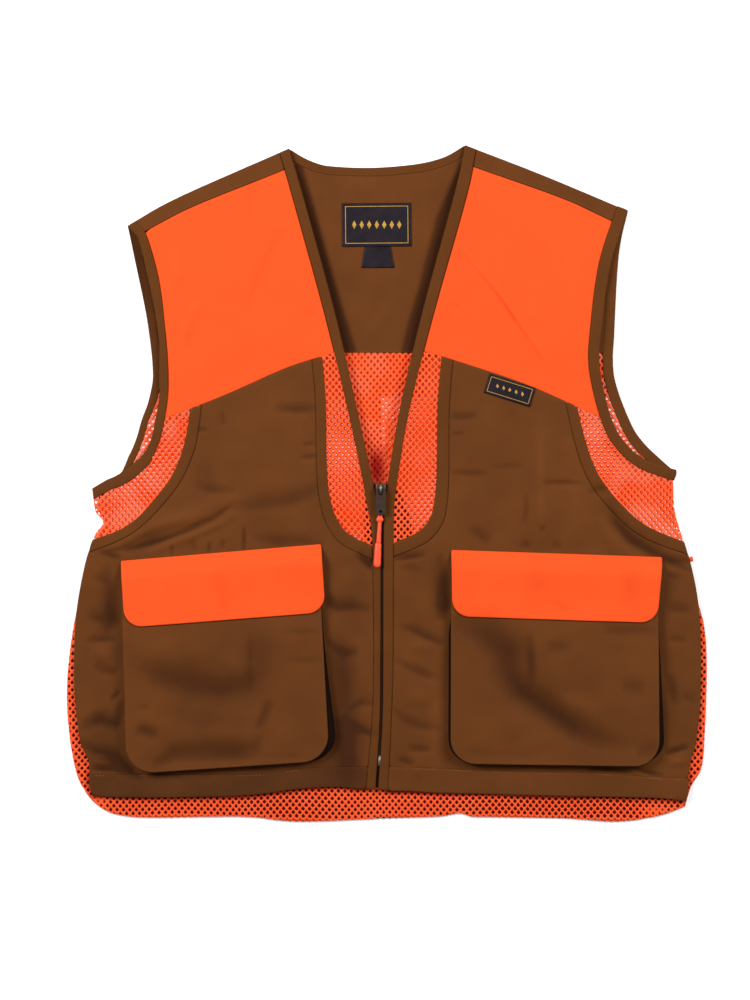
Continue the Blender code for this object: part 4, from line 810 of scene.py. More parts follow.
def along_creases(creases):
    """Rows of points along narrow creases, so that the cloth bends sharply there."""
    places = []
    for crease in creases:
        start = np.array([crease.x0, crease.y0])
        way = np.array([crease.x1, crease.y1]) - start
        length = np.linalg.norm(way)
        side = np.array([-way[1], way[0]]) / length
        steps = max(2, int(length / CREASE_STEP))
        for share in np.arange(1, steps) / steps:
            bent = crease.bend * 4 * share * (1 - share)
            for row in CREASE_ROWS:
                places.append(start + way * share + side * (bent + row * crease.width))
    return np.array(places).reshape(-1, 2)


def filled(loop, folds=()):
    """Triangles over a loop: rows of points along its edge and sharp folds, and an even grid."""
    rows = math.sqrt(0.75) * PITCH
    low, high = loop.min(0), loop.max(0)
    count = ((high - low) / (PITCH, rows)).astype(int) + 2
    grid = np.array([(low[0] + (i + 0.5 * (j % 2)) * PITCH, low[1] + j * rows)
                     for i in range(count[0]) for j in range(count[1])])
    grid = np.vstack([grid, along_creases(folds)])
    grid = grid[from_rim(grid, loop)[0] > EDGE_ROUND + 0.45 * PITCH]
    kept = []
    for share in EDGE_RINGS:
        ring = inset(loop, EDGE_ROUND * share)
        kept.append(ring[from_rim(ring, loop)[0] > 0.9 * share * EDGE_ROUND])
    places = np.vstack([loop, *kept, grid])
    edges = [(k, (k + 1) % len(loop)) for k in range(len(loop))]
    verts, _, faces, *_ = geometry.delaunay_2d_cdt(
        [Vector(place) for place in places], edges, [], 1, 1e-7)
    return np.array([(v.x, v.y) for v in verts]), np.array(faces)


def shell(name, places, faces, low, high, look):
    """A closed thin shell over a flat pattern, from one height to another."""
    count = len(places)
    verts = np.vstack([np.column_stack([places, high]), np.column_stack([places, low])])
    sides = np.vstack([faces[:, [k, (k + 1) % faces.shape[1]]] for k in range(faces.shape[1])])
    code = sides[:, 0].astype(np.int64) * count + sides[:, 1]
    back = sides[:, 1].astype(np.int64) * count + sides[:, 0]
    border = sides[~np.isin(code, back)]
    walls = np.column_stack([border[:, 0], border[:, 0] + count, border[:, 1] + count,
                             border[:, 1]])
    polygons = [*faces.tolist(), *(faces[:, ::-1] + count).tolist(), *walls.tolist()]
    return new_object(name, verts.tolist(), polygons, look)


def shaded(obj, values):
    """Gives the upper and lower points the value that the cloth's colour reads: painted shade in
    hollows and painted light on ridges.
    """
    painted(obj, "crease", np.tile(values, 2))


def rounded_edge(distance, radius=EDGE_ROUND):
    """Share of the half thickness that a cloth has at a distance from its edge."""
    t = np.clip(distance / radius, 0.0, 1.0)
    return EDGE_THIN + (1 - EDGE_THIN) * np.sqrt(1 - (1 - t) ** 2)


def smoothstep(t):
    t = np.clip(t, 0.0, 1.0)
    return t * t * (3 - 2 * t)


def grows(values, change):
    """From 0 to 1 over a change: where it starts, and its length, which runs down if negative."""
    start, length = change
    return smoothstep((values - start) / length)


def on_yoke(places):
    return creased(places, YOKE_CREASES)


def on_table(places):
    return np.zeros(len(places))


def back_low(places):
    return BACK(places) + FACING_ROOM * grows(places[:, 1], FACING_CHANGE)


def soft_floor(heights, deepest):
    """Heights whose hollows reach no deeper than a limit."""
    return np.where(heights < 0, deepest * np.tanh(heights / deepest), heights)


def front_low(places):
    broad, fine = FRONT_RIPPLES
    return (FRONT(places) + soft_floor(on_front(places), FRONT_DEEPEST)
            + ripple(places, *broad) + ripple(places, *fine) - FRONT_SUNK)


def front_top(places):
    return front_low(places) + CANVAS


def face_low(places):
    broad, fine = FACE_RIPPLES
    return (FACE(places) + soft_floor(on_face(places), FACE_DEEPEST)
            + ripple(places, *broad) + ripple(places, *fine)
            - FACE_SUNK - MOUTH_DROP * grows(places[:, 1], MOUTH_CHANGE))


def flap_low(side):
    """Underside of a flap: on the front at its seam, and on the pocket's face further down."""
    left, right = (np.array(place) for place in FLAP_SEAM[side])
    along = (right - left) / np.linalg.norm(right - left)
    down = np.array([along[1], -along[0]])

    def low(places):
        climbed = smoothstep((places - left) @ down / FLAP_RISE)
        on_seam = front_top(places) + GAP
        upper = face_low(places) + CANVAS + GAP + on_flap(places)
        return on_seam * (1 - climbed) + upper * climbed
    return low


def cloth(node, thickness, height, look, owner=None, folds=(), crown=0.0, grown=0.0,
          shades=None, paint=1.0):
    """The piece of cloth that stands for a solid, over a height for its underside."""
    curved = node.startswith("centre_strip")
    loop = rim_of(node, CURVED_RUN, CURVED_CORNER) if curved else rim_of(node)
    loop = inset(loop, -grown)
    loop += aside(loop, node)
    if node == "back_arm_binding_left":
        loop += dent(loop)
    places, faces = filled(loop, folds)
    distance = np.maximum(from_rim(places, loop)[0], 0.0)
    share = rounded_edge(distance)
    middle = height(places) + thickness / 2
    swell = crown * (1 - np.exp(-distance / CROWN_REACH))
    obj = shell(f"{node}_cloth", places, faces, middle - share * thickness / 2,
                middle + share * thickness / 2 + swell, look)
    # The shades are painted into the colour: painted shade in hollows, painted light on ridges
    deep = shades(places) if shades else np.zeros(len(places))
    shaded(obj, np.clip(paint * deep / SHADE_DEPTH, -1.0, 1.0))
    LOOPS[node] = loop
    record(obj, node, loop, owner)
    return obj


def record(obj, node, loop=None, owner=None, body=VEST):
    """Rides the body, stands for the node, and is kept with its outline and the cloth it is on."""
    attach(obj, body)
    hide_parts(node)
    PIECES.append((obj, node, loop, owner))


def cut_size(obj, loop):
    """Width, length and area of a cut: a strip of the same edge and area, or its bounding sides."""
    surface = sum(polygon.area for polygon in obj.data.polygons) / 2
    area = abs(area_of(loop))
    half_edge = np.linalg.norm(np.roll(loop, -1, 0) - loop, axis=1).sum() / 2
    spread_sides = math.sqrt(max(half_edge ** 2 - 4 * area, 0.0))
    width, length = (half_edge - spread_sides) / 2, (half_edge + spread_sides) / 2
    sides = loop.max(0) - loop.min(0)
    if length < STRIP_RATIO * width and surface > LEAST_SHARE * sides.prod():
        width, length = sides
    return width, max(length, surface / width), surface


def declare_sheets():
    """Sorts the cloths into sheets with their width, length and area, and the pieces too narrow to
    be one under the cloth that they are on.
    """
    narrow = {}
    sheets = []
    for obj, node, loop, owner in PIECES:
        if loop is not None:
            width, length, surface = cut_size(obj, loop)
            if width >= LEAST_WIDTH:
                sheets.append((obj, node, width, length, surface))
                continue
        if owner:
            narrow.setdefault(owner, []).append(obj)
    for obj, node, width, length, surface in sheets:
        narrow.pop(node, [])


def stretched(places):
    """How far the knit is pulled out of line at each place."""
    x, y = places.T
    return NET_PULL * np.column_stack([np.sin(y / 0.0150 + 1.3 * np.sin(x / 0.0230)),
                                       np.sin(x / 0.0170 + 1.1 * np.sin(y / 0.0190))])


def pale(places):
    """Share of painted pale light in the knit: patches where two layers lie open on the white
    table.
    """
    patches = ripple(places, 0.022, 1.0, 21.0)
    x, y = np.abs(places[:, 0] - SLIDER_AT[0]), places[:, 1]
    return (grows(patches, PALE_PATCHES) * grows(y, PALE_NET)
            * (0.16 + 0.54 * grows(x, PALE_ARMS)))


def dim(places, name):
    """Share of shade on the knit: under the hem bands, and deep in the neck's opening."""
    x, y = places.T
    shade = np.zeros(len(places))
    if name == "back_mesh_lower":
        low = y < HEM_TOP
        deepest = 0.62 + 0.34 * np.exp(-((x - HEM_DARKEST[0]) / HEM_DARKEST[1]) ** 2)
        for side in SIDES:
            node = f"hem_band_{side}"
            band = rim_of(node)
            band += aside(band, node)
            away = np.ones(len(places))
            away[low] = -from_rim(places[low], band)[0]
            shade = np.maximum(shade, deepest * smoothstep(1 - away / HEM_SHADE) * low)
    if name == "back_mesh_upper":
        shade = np.minimum(1.15 * patch(x, y, NECK_SHADE), 0.95)
    return shade


def patch(x, y, spot):
    """Strength of a soft oval patch, given by its middle and half its width and length."""
    middle_x, middle_y, wide, tall = spot
    return np.exp(-(((x - middle_x) / wide) ** 2 + ((y - middle_y) / tall) ** 2))


def opened(places, name):
    """How far each hole is open: less in the back's upper net, and least at its free left end."""
    if not name.startswith("back_mesh"):
        return np.ones(len(places))
    x, y = places.T
    free = grows(x, FREE_END) * (y > FREE_HOLES[0]) * (y < FREE_HOLES[1])
    centre = np.exp(-(x / NECK_WIDTH) ** 2)
    seat = np.exp(-((y - SEAT[0]) / SEAT[1]) ** 2) * centre
    veil = grows(y, VEIL_START) * np.exp(-((x - VEIL[0]) / VEIL[1]) ** 4)
    still = (1 - 0.55 * free) * (1 - 0.18 * centre) * (1 - 0.40 * seat) * (1 - 0.42 * veil)
    for spot in CLOSED_FOLDS:
        still *= 1 - 0.80 * patch(x, y, spot)
    hem = 0.13 * grows(y, HEM_NET) * grows(x, HEM_NET_LEFT)
    return (np.where(y > UPPER_NET, 0.88, 1.0 + hem) * still
            * (1 - 0.70 * patch(x, y, NECK_SHADE)))


def cell_centres(loop, low, high, turn, shift):
    """Middles of the cells of a turned knit near a loop, and the matrix that turns it."""
    cos, sin = math.cos(turn), math.sin(turn)
    spin = np.array([[cos, sin], [-sin, cos]])
    reach = np.abs(loop).max() + FIELD_MARGIN
    columns = int(reach / CELL[0]) + 1
    rows = int(reach / CELL[1]) + 1
    centres = np.array([((i + 0.5 * (j % 2)) * CELL[0], j * CELL[1])
                        for i in range(-columns, columns) for j in range(-rows, rows)])
    centres = centres @ spin + shift
    box_low, box_high = loop.min(0) - CELL[0], loop.max(0) + CELL[0]
    box_low[1], box_high[1] = max(box_low[1], low), min(box_high[1], high)
    return centres[((centres > box_low) & (centres <= box_high)).all(1)], spin


def knit_faces(merged, count, ridges):
    """Faces between the ridges of a knit's cells and the rims of their holes."""
    holes = 2 * ridges + np.arange(count * SIDES_OF_CELL).reshape(count, SIDES_OF_CELL)
    after = np.roll(merged, -1, 1)
    holes_after = np.roll(holes, -1, 1)
    upper = np.stack([merged, after, holes_after, holes], 2).reshape(-1, 4)
    lower = np.stack([after + ridges, merged + ridges, holes, holes_after], 2).reshape(-1, 4)
    code = (merged * ridges + after).ravel()
    back = (after * ridges + merged).ravel()
    free = ~np.isin(code, back) & (merged.ravel() != after.ravel())
    a, b = merged.ravel()[free], after.ravel()[free]
    walls = np.column_stack([a, a + ridges, b + ridges, b])
    same = upper[:, 0] == upper[:, 1]
    return [*upper[~same].tolist(), *lower[~same].tolist(), *walls.tolist(),
            *upper[same][:, 1:].tolist(), *lower[same][:, 1:].tolist()]


def net(name, node, height, look, loop, low=-1.0, high=1.0, turn=0.0, shift=(0.0, 0.0)):
    """Knit mesh with holes, from a lower to an upper Y, clipped to a loop."""
    centres, spin = cell_centres(loop, low, high, turn, shift)
    depth = from_rim(centres, loop)[0]
    centres = centres[depth > -NET_EDGE]
    depth = depth[depth > -NET_EDGE]
    hole = np.clip(depth / NET_CLOSING, 0.12, 1.0) * opened(centres, name)
    outer = centres[:, None, :] + (OUTER @ spin)[None]
    inner = centres[:, None, :] + (HOLE @ spin)[None] * hole[:, None, None]
    places = np.vstack([outer.reshape(-1, 2), inner.reshape(-1, 2)])
    places += stretched(places)
    near_rim = np.tile(np.repeat(depth < 2 * CELL[0], SIDES_OF_CELL), 2)
    inside, nearest = from_rim(places[near_rim], loop)
    places[near_rim] = np.where(inside[:, None] > 0, places[near_rim], nearest)
    rim_distance = np.full(len(places), 1.0)
    rim_distance[near_rim] = np.maximum(inside, 0.0)
    count = len(centres)
    corners = count * SIDES_OF_CELL
    keys = np.round(places[:corners] * SAME).astype(np.int64)
    _, first, merged = np.unique(keys, axis=0, return_index=True, return_inverse=True)
    ridge, rim = places[first], places[corners:]
    middle = height(np.vstack([ridge, rim])) + NET / 2
    n = len(ridge)
    share = rounded_edge(rim_distance[:corners][first], NET_ROUND)
    crest = NET / 2 * share
    verts = np.vstack([np.column_stack([ridge, middle[:n] + crest]),
                       np.column_stack([ridge, middle[:n] - crest]),
                       np.column_stack([rim, middle[n:]])])
    polygons = knit_faces(merged.reshape(count, SIDES_OF_CELL), count, n)
    obj = new_object(name, verts.tolist(), polygons, look)
    obj.data.validate()
    painted(obj, "pale", pale(verts[:, :2]))
    painted(obj, "dim", dim(verts[:, :2], name))
    band = loop[(loop[:, 1] > low - 0.01) & (loop[:, 1] < high + 0.01)]
    record(obj, node, band if len(band) < len(loop) else loop)


def tucked(node, neighbours):
    """Outline of a net, run on in under the pieces that bind it but not at its free edges."""
    loop = rim_of(node)
    grown = inset(loop, -NET_TUCK)
    under = np.zeros(len(loop), bool)
    for other in neighbours:
        under |= from_rim(inset(loop, -0.0012), LOOPS[other])[0] > 0
    return np.where(under[:, None], grown, loop)


def notch(places):
    """The pinch in the free edge of the left underarm net."""
    x, y = places.T
    return NOTCH * np.exp(-((y + 0.0385) / 0.0055) ** 2) * grows(x, NOTCH_END)


def dent(places):
    """The corner that the left back armhole binding makes with the front one."""
    along = np.array([-0.663, -0.749])
    out = np.array([-0.749, 0.663])
    offset = places - (-0.2684, 0.0146)
    share = np.clip(1 - np.abs(offset @ along) / 0.0160, 0.0, 1.0)
    share *= grows(offset @ out, DENT_EDGE)
    return -0.0046 * share[:, None] * out


def rings_mesh(name, rings, look):
    """A closed piece from rings of points: rows of quads, and a cap at each end."""
    rings = np.asarray(rings)
    count, around = rings.shape[:2]
    polygons = []
    for k in range(count - 1):
        for m in range(around):
            n = (m + 1) % around
            polygons.append((k * around + m, k * around + n, (k + 1) * around + n,
                             (k + 1) * around + m))
    polygons.append(tuple(range(around))[::-1])
    polygons.append(tuple((count - 1) * around + m for m in range(around)))
    obj = new_object(name, rings.reshape(-1, 3).tolist(), polygons, look)
    bm = bmesh.new()
    bm.from_mesh(obj.data)
    bmesh.ops.recalc_face_normals(bm, faces=bm.faces)
    bm.to_mesh(obj.data)
    bm.free()
    return obj


def gusset(side):
    """Bellows strip round a pocket's sides and bottom, between its face and its front."""
    face = inset(LOOPS[f"pocket_face_{side}"], GUSSET_INSET)
    start = (face[:, 0] - face[:, 1]).argmin()
    path = np.roll(face, -start, 0)
    path = path[:(path[:, 0] + path[:, 1]).argmax() + 1]
    outs = -crossed(path, False)
    left, bottom, right = FLARES[side]
    mouth = np.linalg.norm(path - path[-1], axis=1)
    bellows = smoothstep(mouth / MOUTH_LENGTH) ** MOUTH_POWER[side]
    outer_end = np.linalg.norm(path - path[0], axis=1)
    opening = smoothstep((outer_end - GUSSET_START) / GUSSET_OPENING)
    flare = (left * np.clip(-outs[:, 0], 0, 1) ** 2 * opening
             + bottom * np.clip(-outs[:, 1], 0, 1) ** 2
             + right * np.clip(outs[:, 0], 0, 1) ** CORNER_POWER[side]
             * (MOUTH_FLARE + (1 - MOUTH_FLARE) * bellows))
    top = face_low(path) + GUSSET_CLEAR
    base = front_top(path) + GUSSET_CLEAR
    down = range(GUSSET_STEPS + 1)
    rings = []
    for place, out, bulge, high, low in zip(path, outs, flare, top, base):
        ring = []
        for wall, steps in ((0.0, down), (GUSSET_WALL, reversed(down))):
            for k in steps:
                share = k / GUSSET_STEPS
                reach = bulge * math.sin(math.pi * share) ** 0.8 - wall
                ring.append((*(place + out * reach), high + (low - high) * share))
        rings.append(ring)
    name = f"pocket_gusset_{side}"
    # The gusset is near black: painted shadow of the deep shade under the pocket's face
    obj = rings_mesh(f"{name}_cloth", rings, GUSSET_SHADOW_LOOK)
    along = measured(path)[0]
    strip = np.array([(0.0, 0.0), (along, 0.0), (along, GUSSET_DEPTH), (0.0, GUSSET_DEPTH)])
    record(obj, name, strip)


def stitches(line, height, keep):
    """Points and faces of a row of stitches along a line, where the places are to be kept."""
    length, width, rise = STITCH
    total, along = measured(line)
    middles = np.arange(STITCH_PITCH / 2, total, STITCH_PITCH)
    middles = middles[keep(along(middles))]
    centres = along(middles)
    ahead = along(middles + length / 2)
    behind = along(middles - length / 2)
    way = ahead - behind
    way /= np.maximum(np.linalg.norm(way, axis=1), 1e-9)[:, None]
    side = np.column_stack([-way[:, 1], way[:, 0]]) * width / 2
    ground = height(centres)
    columns = []
    for place, share, up in ((behind, 0.4, 0.0), (centres, 1.0, rise), (ahead, 0.4, 0.0)):
        for reach, lift in ((-share, -rise), (0.0, up), (share, -rise)):
            columns.append(np.column_stack([place + side * reach, ground + lift]))
    verts = np.stack(columns, 1).reshape(-1, 3)
    quads = np.array([(0, 3, 4, 1), (1, 4, 5, 2), (3, 6, 7, 4), (4, 7, 8, 5)])
    return verts, (np.arange(len(centres))[:, None, None] * 9 + quads).reshape(-1, 4)


def seam(node, distance, top, neighbours=(), shown=1.0):
    """A row of stitches inside a piece's edge, all round or where it meets its neighbours."""
    loop = LOOPS[node]
    ring = inset(loop, distance)

    def keep(places):
        kept = from_rim(places, loop)[0] > 0.85 * distance
        if neighbours:
            near = [np.abs(from_rim(places, LOOPS[other])[0]) < distance + 0.0014
                    for other in neighbours]
            kept &= np.any(near, axis=0)
        if shown < 1:
            kept &= ripple(places, 0.021, 1.0, 5.0) < shown
        return kept
    return stitches(np.vstack([ring, ring[:1]]), top, keep)


def sewn(name, node, rows, look, owner):
    """One piece from several rows of stitches."""
    verts = []
    polygons = []
    first = 0
    for places, quads in rows:
        verts += places.tolist()
        polygons += (quads + first).tolist()
        first += len(places)
    record(new_object(name, verts, polygons, look), node, None, owner)


class Look:
    """A material with its own texture nodes."""

    def __init__(self, name, roughness, metallic=0.0, sheen=0.0, gloss=0.12):
        self.material = bpy.data.materials.new(name)
        self.material.use_nodes = True
        self.tree = self.material.node_tree
        self.surface = self.tree.nodes["Principled BSDF"]
        self.surface.inputs["Roughness"].default_value = roughness
        self.surface.inputs["Metallic"].default_value = metallic
        self.surface.inputs["Specular IOR Level"].default_value = gloss
        self.surface.inputs["Sheen Weight"].default_value = sheen
        self.place = self.node("ShaderNodeTexCoord").outputs["Object"]

    def node(self, kind):
        return self.tree.nodes.new(kind)

    def join(self, output, socket):
        self.tree.links.new(output, socket)

    def noise(self, size, detail=3.0):
        texture = self.node("ShaderNodeTexNoise")
        texture.inputs["Scale"].default_value = 1 / size
        texture.inputs["Detail"].default_value = detail
        self.join(self.place, texture.inputs["Vector"])
        return texture.outputs["Fac"]

    def ramp(self, factor, *stops):
        ramp = self.node("ShaderNodeValToRGB")
        self.join(factor, ramp.inputs["Fac"])
        elements = ramp.color_ramp.elements
        while len(elements) < len(stops):
            elements.new(0.5)
        for element, (position, colour) in zip(elements, stops):
            element.position = position
            element.color = (*colour, 1.0)
        return ramp.outputs["Color"]

    def mixed(self, factor, first, second):
        mix = self.node("ShaderNodeMix")
        mix.data_type = "RGBA"
        self.join(factor, mix.inputs["Factor"])
        self.join(first, mix.inputs["A"])
        mix.inputs["B"].default_value = (*second, 1.0)
        return mix.outputs["Result"]

    def times(self, first, second):
        mix = self.node("ShaderNodeMix")
        mix.data_type = "RGBA"
        mix.blend_type = "MULTIPLY"
        mix.inputs["Factor"].default_value = 1.0
        self.join(first, mix.inputs["A"])
        self.join(second, mix.inputs["B"])
        return mix.outputs["Result"]

    def weave(self, pitch):
        """Two crossed bands, as warp and weft."""
        added = self.node("ShaderNodeMath")
        for axis, socket in (("X", 0), ("Y", 1)):
            wave = self.node("ShaderNodeTexWave")
            wave.bands_direction = axis
            wave.inputs["Scale"].default_value = math.pi / 10 / pitch
            wave.inputs["Distortion"].default_value = 0.6
            self.join(self.place, wave.inputs["Vector"])
            self.join(wave.outputs["Fac"], added.inputs[socket])
        return added.outputs["Value"]

    def bump(self, height, distance, strength=1.0):
        """Adds a bump over those that the surface has."""
        bump = self.node("ShaderNodeBump")
        bump.inputs["Distance"].default_value = distance
        bump.inputs["Strength"].default_value = strength
        self.join(height, bump.inputs["Height"])
        normal = self.surface.inputs["Normal"]
        if normal.links:
            self.join(normal.links[0].from_socket, bump.inputs["Normal"])
        self.join(bump.outputs["Normal"], normal)

    def glow(self, output, strength):
        """Emission: painted light for the knit's fluorescent dye, and the floor's even glow."""
        self.join(output, self.surface.inputs["Emission Color"])
        self.surface.inputs["Emission Strength"].default_value = strength

    def colour(self, output):
        self.join(output, self.surface.inputs["Base Color"])

    def two_toned(self, size, dark, light):
        self.colour(self.ramp(self.noise(size), (0.3, dark), (0.7, light)))

    def painted(self, name):
        """The value that a mesh stores for each point."""
        stored = self.node("ShaderNodeAttribute")
        stored.attribute_name = name
        return stored.outputs["Fac"]


def scaled(colour, share):
    return tuple(part * share for part in colour)


def cloth_look(name, colour, roughness, uneven, weave):
    pitch, depth, crumple = weave
    look = Look(name, roughness)
    tone = look.ramp(look.noise(0.045, 5.0), (0.30, scaled(colour, 1 - uneven)),
                     (0.70, scaled(colour, 1 + uneven)))
    # Painted shade in hollows and painted light on ridges, from the crease value that each point
    # stores
    painted_crease_shading = look.node("ShaderNodeMapRange")
    painted_crease_shading.inputs["From Min"].default_value = -1.0
    look.join(look.painted("crease"), painted_crease_shading.inputs["Value"])
    look.colour(look.times(tone, look.ramp(
        painted_crease_shading.outputs["Result"], (0.0, (0.42, 0.38, 0.36)), (0.5, (1.0, 1.0, 1.0)),
        (1.0, (1.26, 1.26, 1.26)))))
    look.bump(look.noise(0.011, 4.0), crumple, 0.6)
    look.bump(look.weave(pitch), depth, 0.5)
    return look.material


def net_look(name, pale_light_tint):
    look = Look(name, 0.70)
    dye_light_and_shade = look.ramp(look.noise(0.030), (0.3, (0.95, 0.094, 0.020)), (0.7, (0.98, 0.120, 0.034)))
    # Painted pale light: the tint where two layers lie open on the white table
    dye_light_and_shade = look.mixed(look.painted("pale"), dye_light_and_shade, pale_light_tint)
    # Painted shade: darker under the hem bands and deep in the neck's opening
    dye_light_and_shade = look.mixed(look.painted("dim"), dye_light_and_shade, (0.36, 0.006, 0.003))
    look.colour(dye_light_and_shade)
    # Painted light: the knit glows a little, for its fluorescent dye
    look.glow(dye_light_and_shade, NET_GLOW)
    look.bump(look.weave(0.00045), 0.00006, 0.5)
    return look.material


def label_look():
    look = Look("woven_label", 0.42)
    look.two_toned(0.012, (0.010, 0.007, 0.011), (0.020, 0.014, 0.020))
    look.bump(look.weave(0.0005), 0.00005, 0.6)
    return look.material


def gold_look():
    look = Look("gold_thread", 0.45, sheen=0.1)
    look.two_toned(0.002, (0.42, 0.22, 0.035), (0.60, 0.34, 0.06))
    look.bump(look.noise(0.0006), 0.0001, 0.5)
    return look.material


def thread_look(name, colour):
    look = Look(name, 0.6)
    look.two_toned(0.004, scaled(colour, 0.8), scaled(colour, 1.15))
    look.bump(look.noise(0.0005), 0.00005, 0.4)
    return look.material


def hard_look(name, colour, roughness, metallic, size, depth):
    look = Look(name, roughness, metallic, gloss=0.4)
    look.two_toned(size, scaled(colour, 0.85), scaled(colour, 1.15))
    look.bump(look.noise(size / 3), depth, 0.4)
    return look.material


def floor_look():
    look = Look("studio_floor", 0.9)
    white = look.ramp(look.noise(0.4), (0.3, (0.97, 0.97, 0.97)), (0.7, (0.99, 0.99, 0.99)))
    look.colour(white)
    look.glow(white, FLOOR_GLOW)
    look.bump(look.noise(0.002), 0.0001, 0.1)
    return look.material


def make_back():
    cloth("back_yoke", YOKE, on_yoke, CANVAS_LOOK, folds=sharp(YOKE_CREASES),
          shades=shade_beside_front, grown=0.0004)
    cloth("back_neck_binding", FOLDED, on_yoke, BINDING_LOOK, "back_yoke",
          grown=0.0002)
    for side in SIDES:
        cloth(f"back_arm_binding_{side}", FOLDED, on_table, BINDING_LOOK,
              "back_yoke", grown=BACK_BINDING_GROWN[side],
              shades=shade_behind_front if side == "left" else None)
    cloth("game_bag_panel", CANVAS, on_table, LINING_LOOK, grown=0.0032)
    make_facing()
    loop = rim_of("back_mesh")
    LOOPS["back_mesh"] = loop.copy()
    grown = inset(loop, -NET_TUCK)
    for side in SIDES:
        under = from_rim(inset(loop, -0.0030), LOOPS[f"back_arm_binding_{side}"])[0] > 0.001
        loop = np.where(under[:, None], grown, loop)
    x, y = loop.T
    loop[:, 1] += NET_TUCK * (y > BACK_NET_TOP)
    free = (np.abs(x) > BACK_NET_SIDE) & (y > FREE_EDGE[0]) & (y < FREE_EDGE[1])
    loop = np.where(free[:, None], inset(loop, -BACK_NET_REACH), loop)
    loop[:, 0] += notch(loop)
    bands = (("lower", -1.0, LOWER_NET), ("middle", LOWER_NET, UPPER_NET),
             ("upper", UPPER_NET, 1.0))
    for part, low, high in bands:
        net(f"back_mesh_{part}", "back_mesh", back_low, BACK_NET_LOOK, loop, low, high)


def outline(corners):
    """A counter-clockwise loop in short steps round a table of corners."""
    corners = np.array(corners)
    if area_of(corners) < 0:
        corners = corners[::-1]
    return np.vstack([a + (b - a) * np.arange(0, 1, 0.05)[:, None]
                      for a, b in zip(corners, np.roll(corners, -1, 0))])


def make_facing():
    """A plain facing under the back mesh below the yoke, and a tongue of it down to the zip."""
    loop = outline(FACING)
    places, faces = filled(loop)
    low = on_table(places)
    obj = shell("back_facing", places, faces, low, low + FACING_CLOTH, FACING_LOOK)
    x, y = places.T
    # Painted shade on the facing's tongue down to the zip, darker below its top
    tongue_shade = grows(x, TONGUE_SHADE_LEFT) * grows(x, TONGUE_SHADE_RIGHT)
    shaded(obj, -tongue_shade * grows(y, TONGUE_SHADE_TOP))
    record(obj, "back_mesh", loop)
    net("back_mesh_inner", "back_mesh", on_table, BACK_NET_LOOK, outline(INNER_NET),
        turn=0.55, shift=(0.001, 0.0015))


def make_backing():
    """The dark backing of the zip, which shows through the nets beside it."""
    loop = outline(ZIP_BACKING)
    places, faces = filled(loop)
    low = front_low(places) - 0.0014
    obj = shell("zip_backing", places, faces, low, low + FACING_CLOTH, BACKING_LOOK)
    shaded(obj, np.zeros(len(places)))
    record(obj, "zip_tape", loop)


def make_front(side):
    cloth(f"shoulder_strip_{side}", CANVAS, front_low, CANVAS_LOOK,
          folds=FRONT_FOLDS, shades=front_shade)
    cloth(f"chest_panel_{side}", CANVAS, front_low, BLAZE_LOOK,
          folds=FRONT_FOLDS, shades=front_shade, paint=0.5)
    cloth(f"lower_front_{side}", CANVAS, front_low, CANVAS_LOOK,
          folds=FRONT_FOLDS, grown=0.0004, shades=front_shade)
    cloth(f"hem_band_{side}", FOLDED, front_low, HEM_LOOKS[side],
          folds=FRONT_FOLDS, grown=0.0002, shades=front_shade, paint=0.5)
    for name, owner in (("arm_strip", "lower_front"), ("centre_strip", "lower_front"),
                        ("front_binding", "lower_front"), ("armhole_binding", "chest_panel")):
        wider = ARMHOLE_GROWN if f"{name}_{side}" == "armhole_binding_right" else 0.0
        cloth(f"{name}_{side}", FOLDED, front_low, BINDING_LOOK,
              f"{owner}_{side}", FRONT_FOLDS, crown=0.0002, grown=wider, shades=front_shade,
              paint=0.3)
    turn = {"left": 0.035, "right": -0.030}[side]
    for name, neighbours in (
            ("arm_mesh", ("arm_strip", "armhole_binding", "chest_panel")),
            ("centre_mesh", ("centre_strip", "front_binding", "chest_panel"))):
        node = f"{name}_{side}"
        LOOPS[node] = rim_of(node)
        loop = tucked(node, [f"{neighbour}_{side}" for neighbour in neighbours])
        loop[:, 0] += notch(loop)
        net(f"{node}_net", node, front_low, NET_LOOK, loop, turn=turn, shift=NET_SHIFT[node])


def make_pocket(side):
    cloth(f"pocket_face_{side}", CANVAS, face_low, CANVAS_LOOK,
          folds=sharp(FACE_CREASES), shades=on_face)
    cloth(f"pocket_flap_{side}", FLAP, flap_low(side), BLAZE_LOOK,
          folds=sharp(FLAP_CREASES), shades=on_flap, paint=0.5)
    gusset(side)


def frame_lines(node, distance, width, height, name):
    """A thin woven border, drawn in from a label's edge."""
    loop = LOOPS[node]
    outer = box_ring(loop, distance)
    inner = box_ring(loop, distance + width)
    places = np.vstack([outer, inner])
    count = len(outer)
    after = (np.arange(count) + 1) % count
    first = np.arange(count)
    faces = np.vstack([np.column_stack([first, after, after + count]),
                       np.column_stack([first, after + count, first + count])])
    base = height(places)
    obj = shell(name, places, faces, base - BORDER[0], base + BORDER[1], GOLD_LOOK)
    record(obj, node, None, node)


def box_ring(loop, distance):
    """Four sides of a rectangle inside a four-cornered loop, in short steps."""
    turned = turning(loop)
    corners = loop[np.sort(np.argsort(-turned)[:4])]
    centre = corners.mean(0)
    ring = []
    for a, b in zip(corners, np.roll(corners, -1, 0)):
        for t in np.arange(12) / 12:
            ring.append(a + (b - a) * t)
    ring = np.array(ring)
    along = corners[1] - corners[0]
    up = corners[2] - corners[1]
    width, tall = np.linalg.norm(along), np.linalg.norm(up)
    along, up = along / width, up / tall
    local = (ring - centre) @ np.column_stack([along, up])
    local *= ((width - 2 * distance) / width, (tall - 2 * distance) / tall)
    return centre + local @ np.array([along, up])


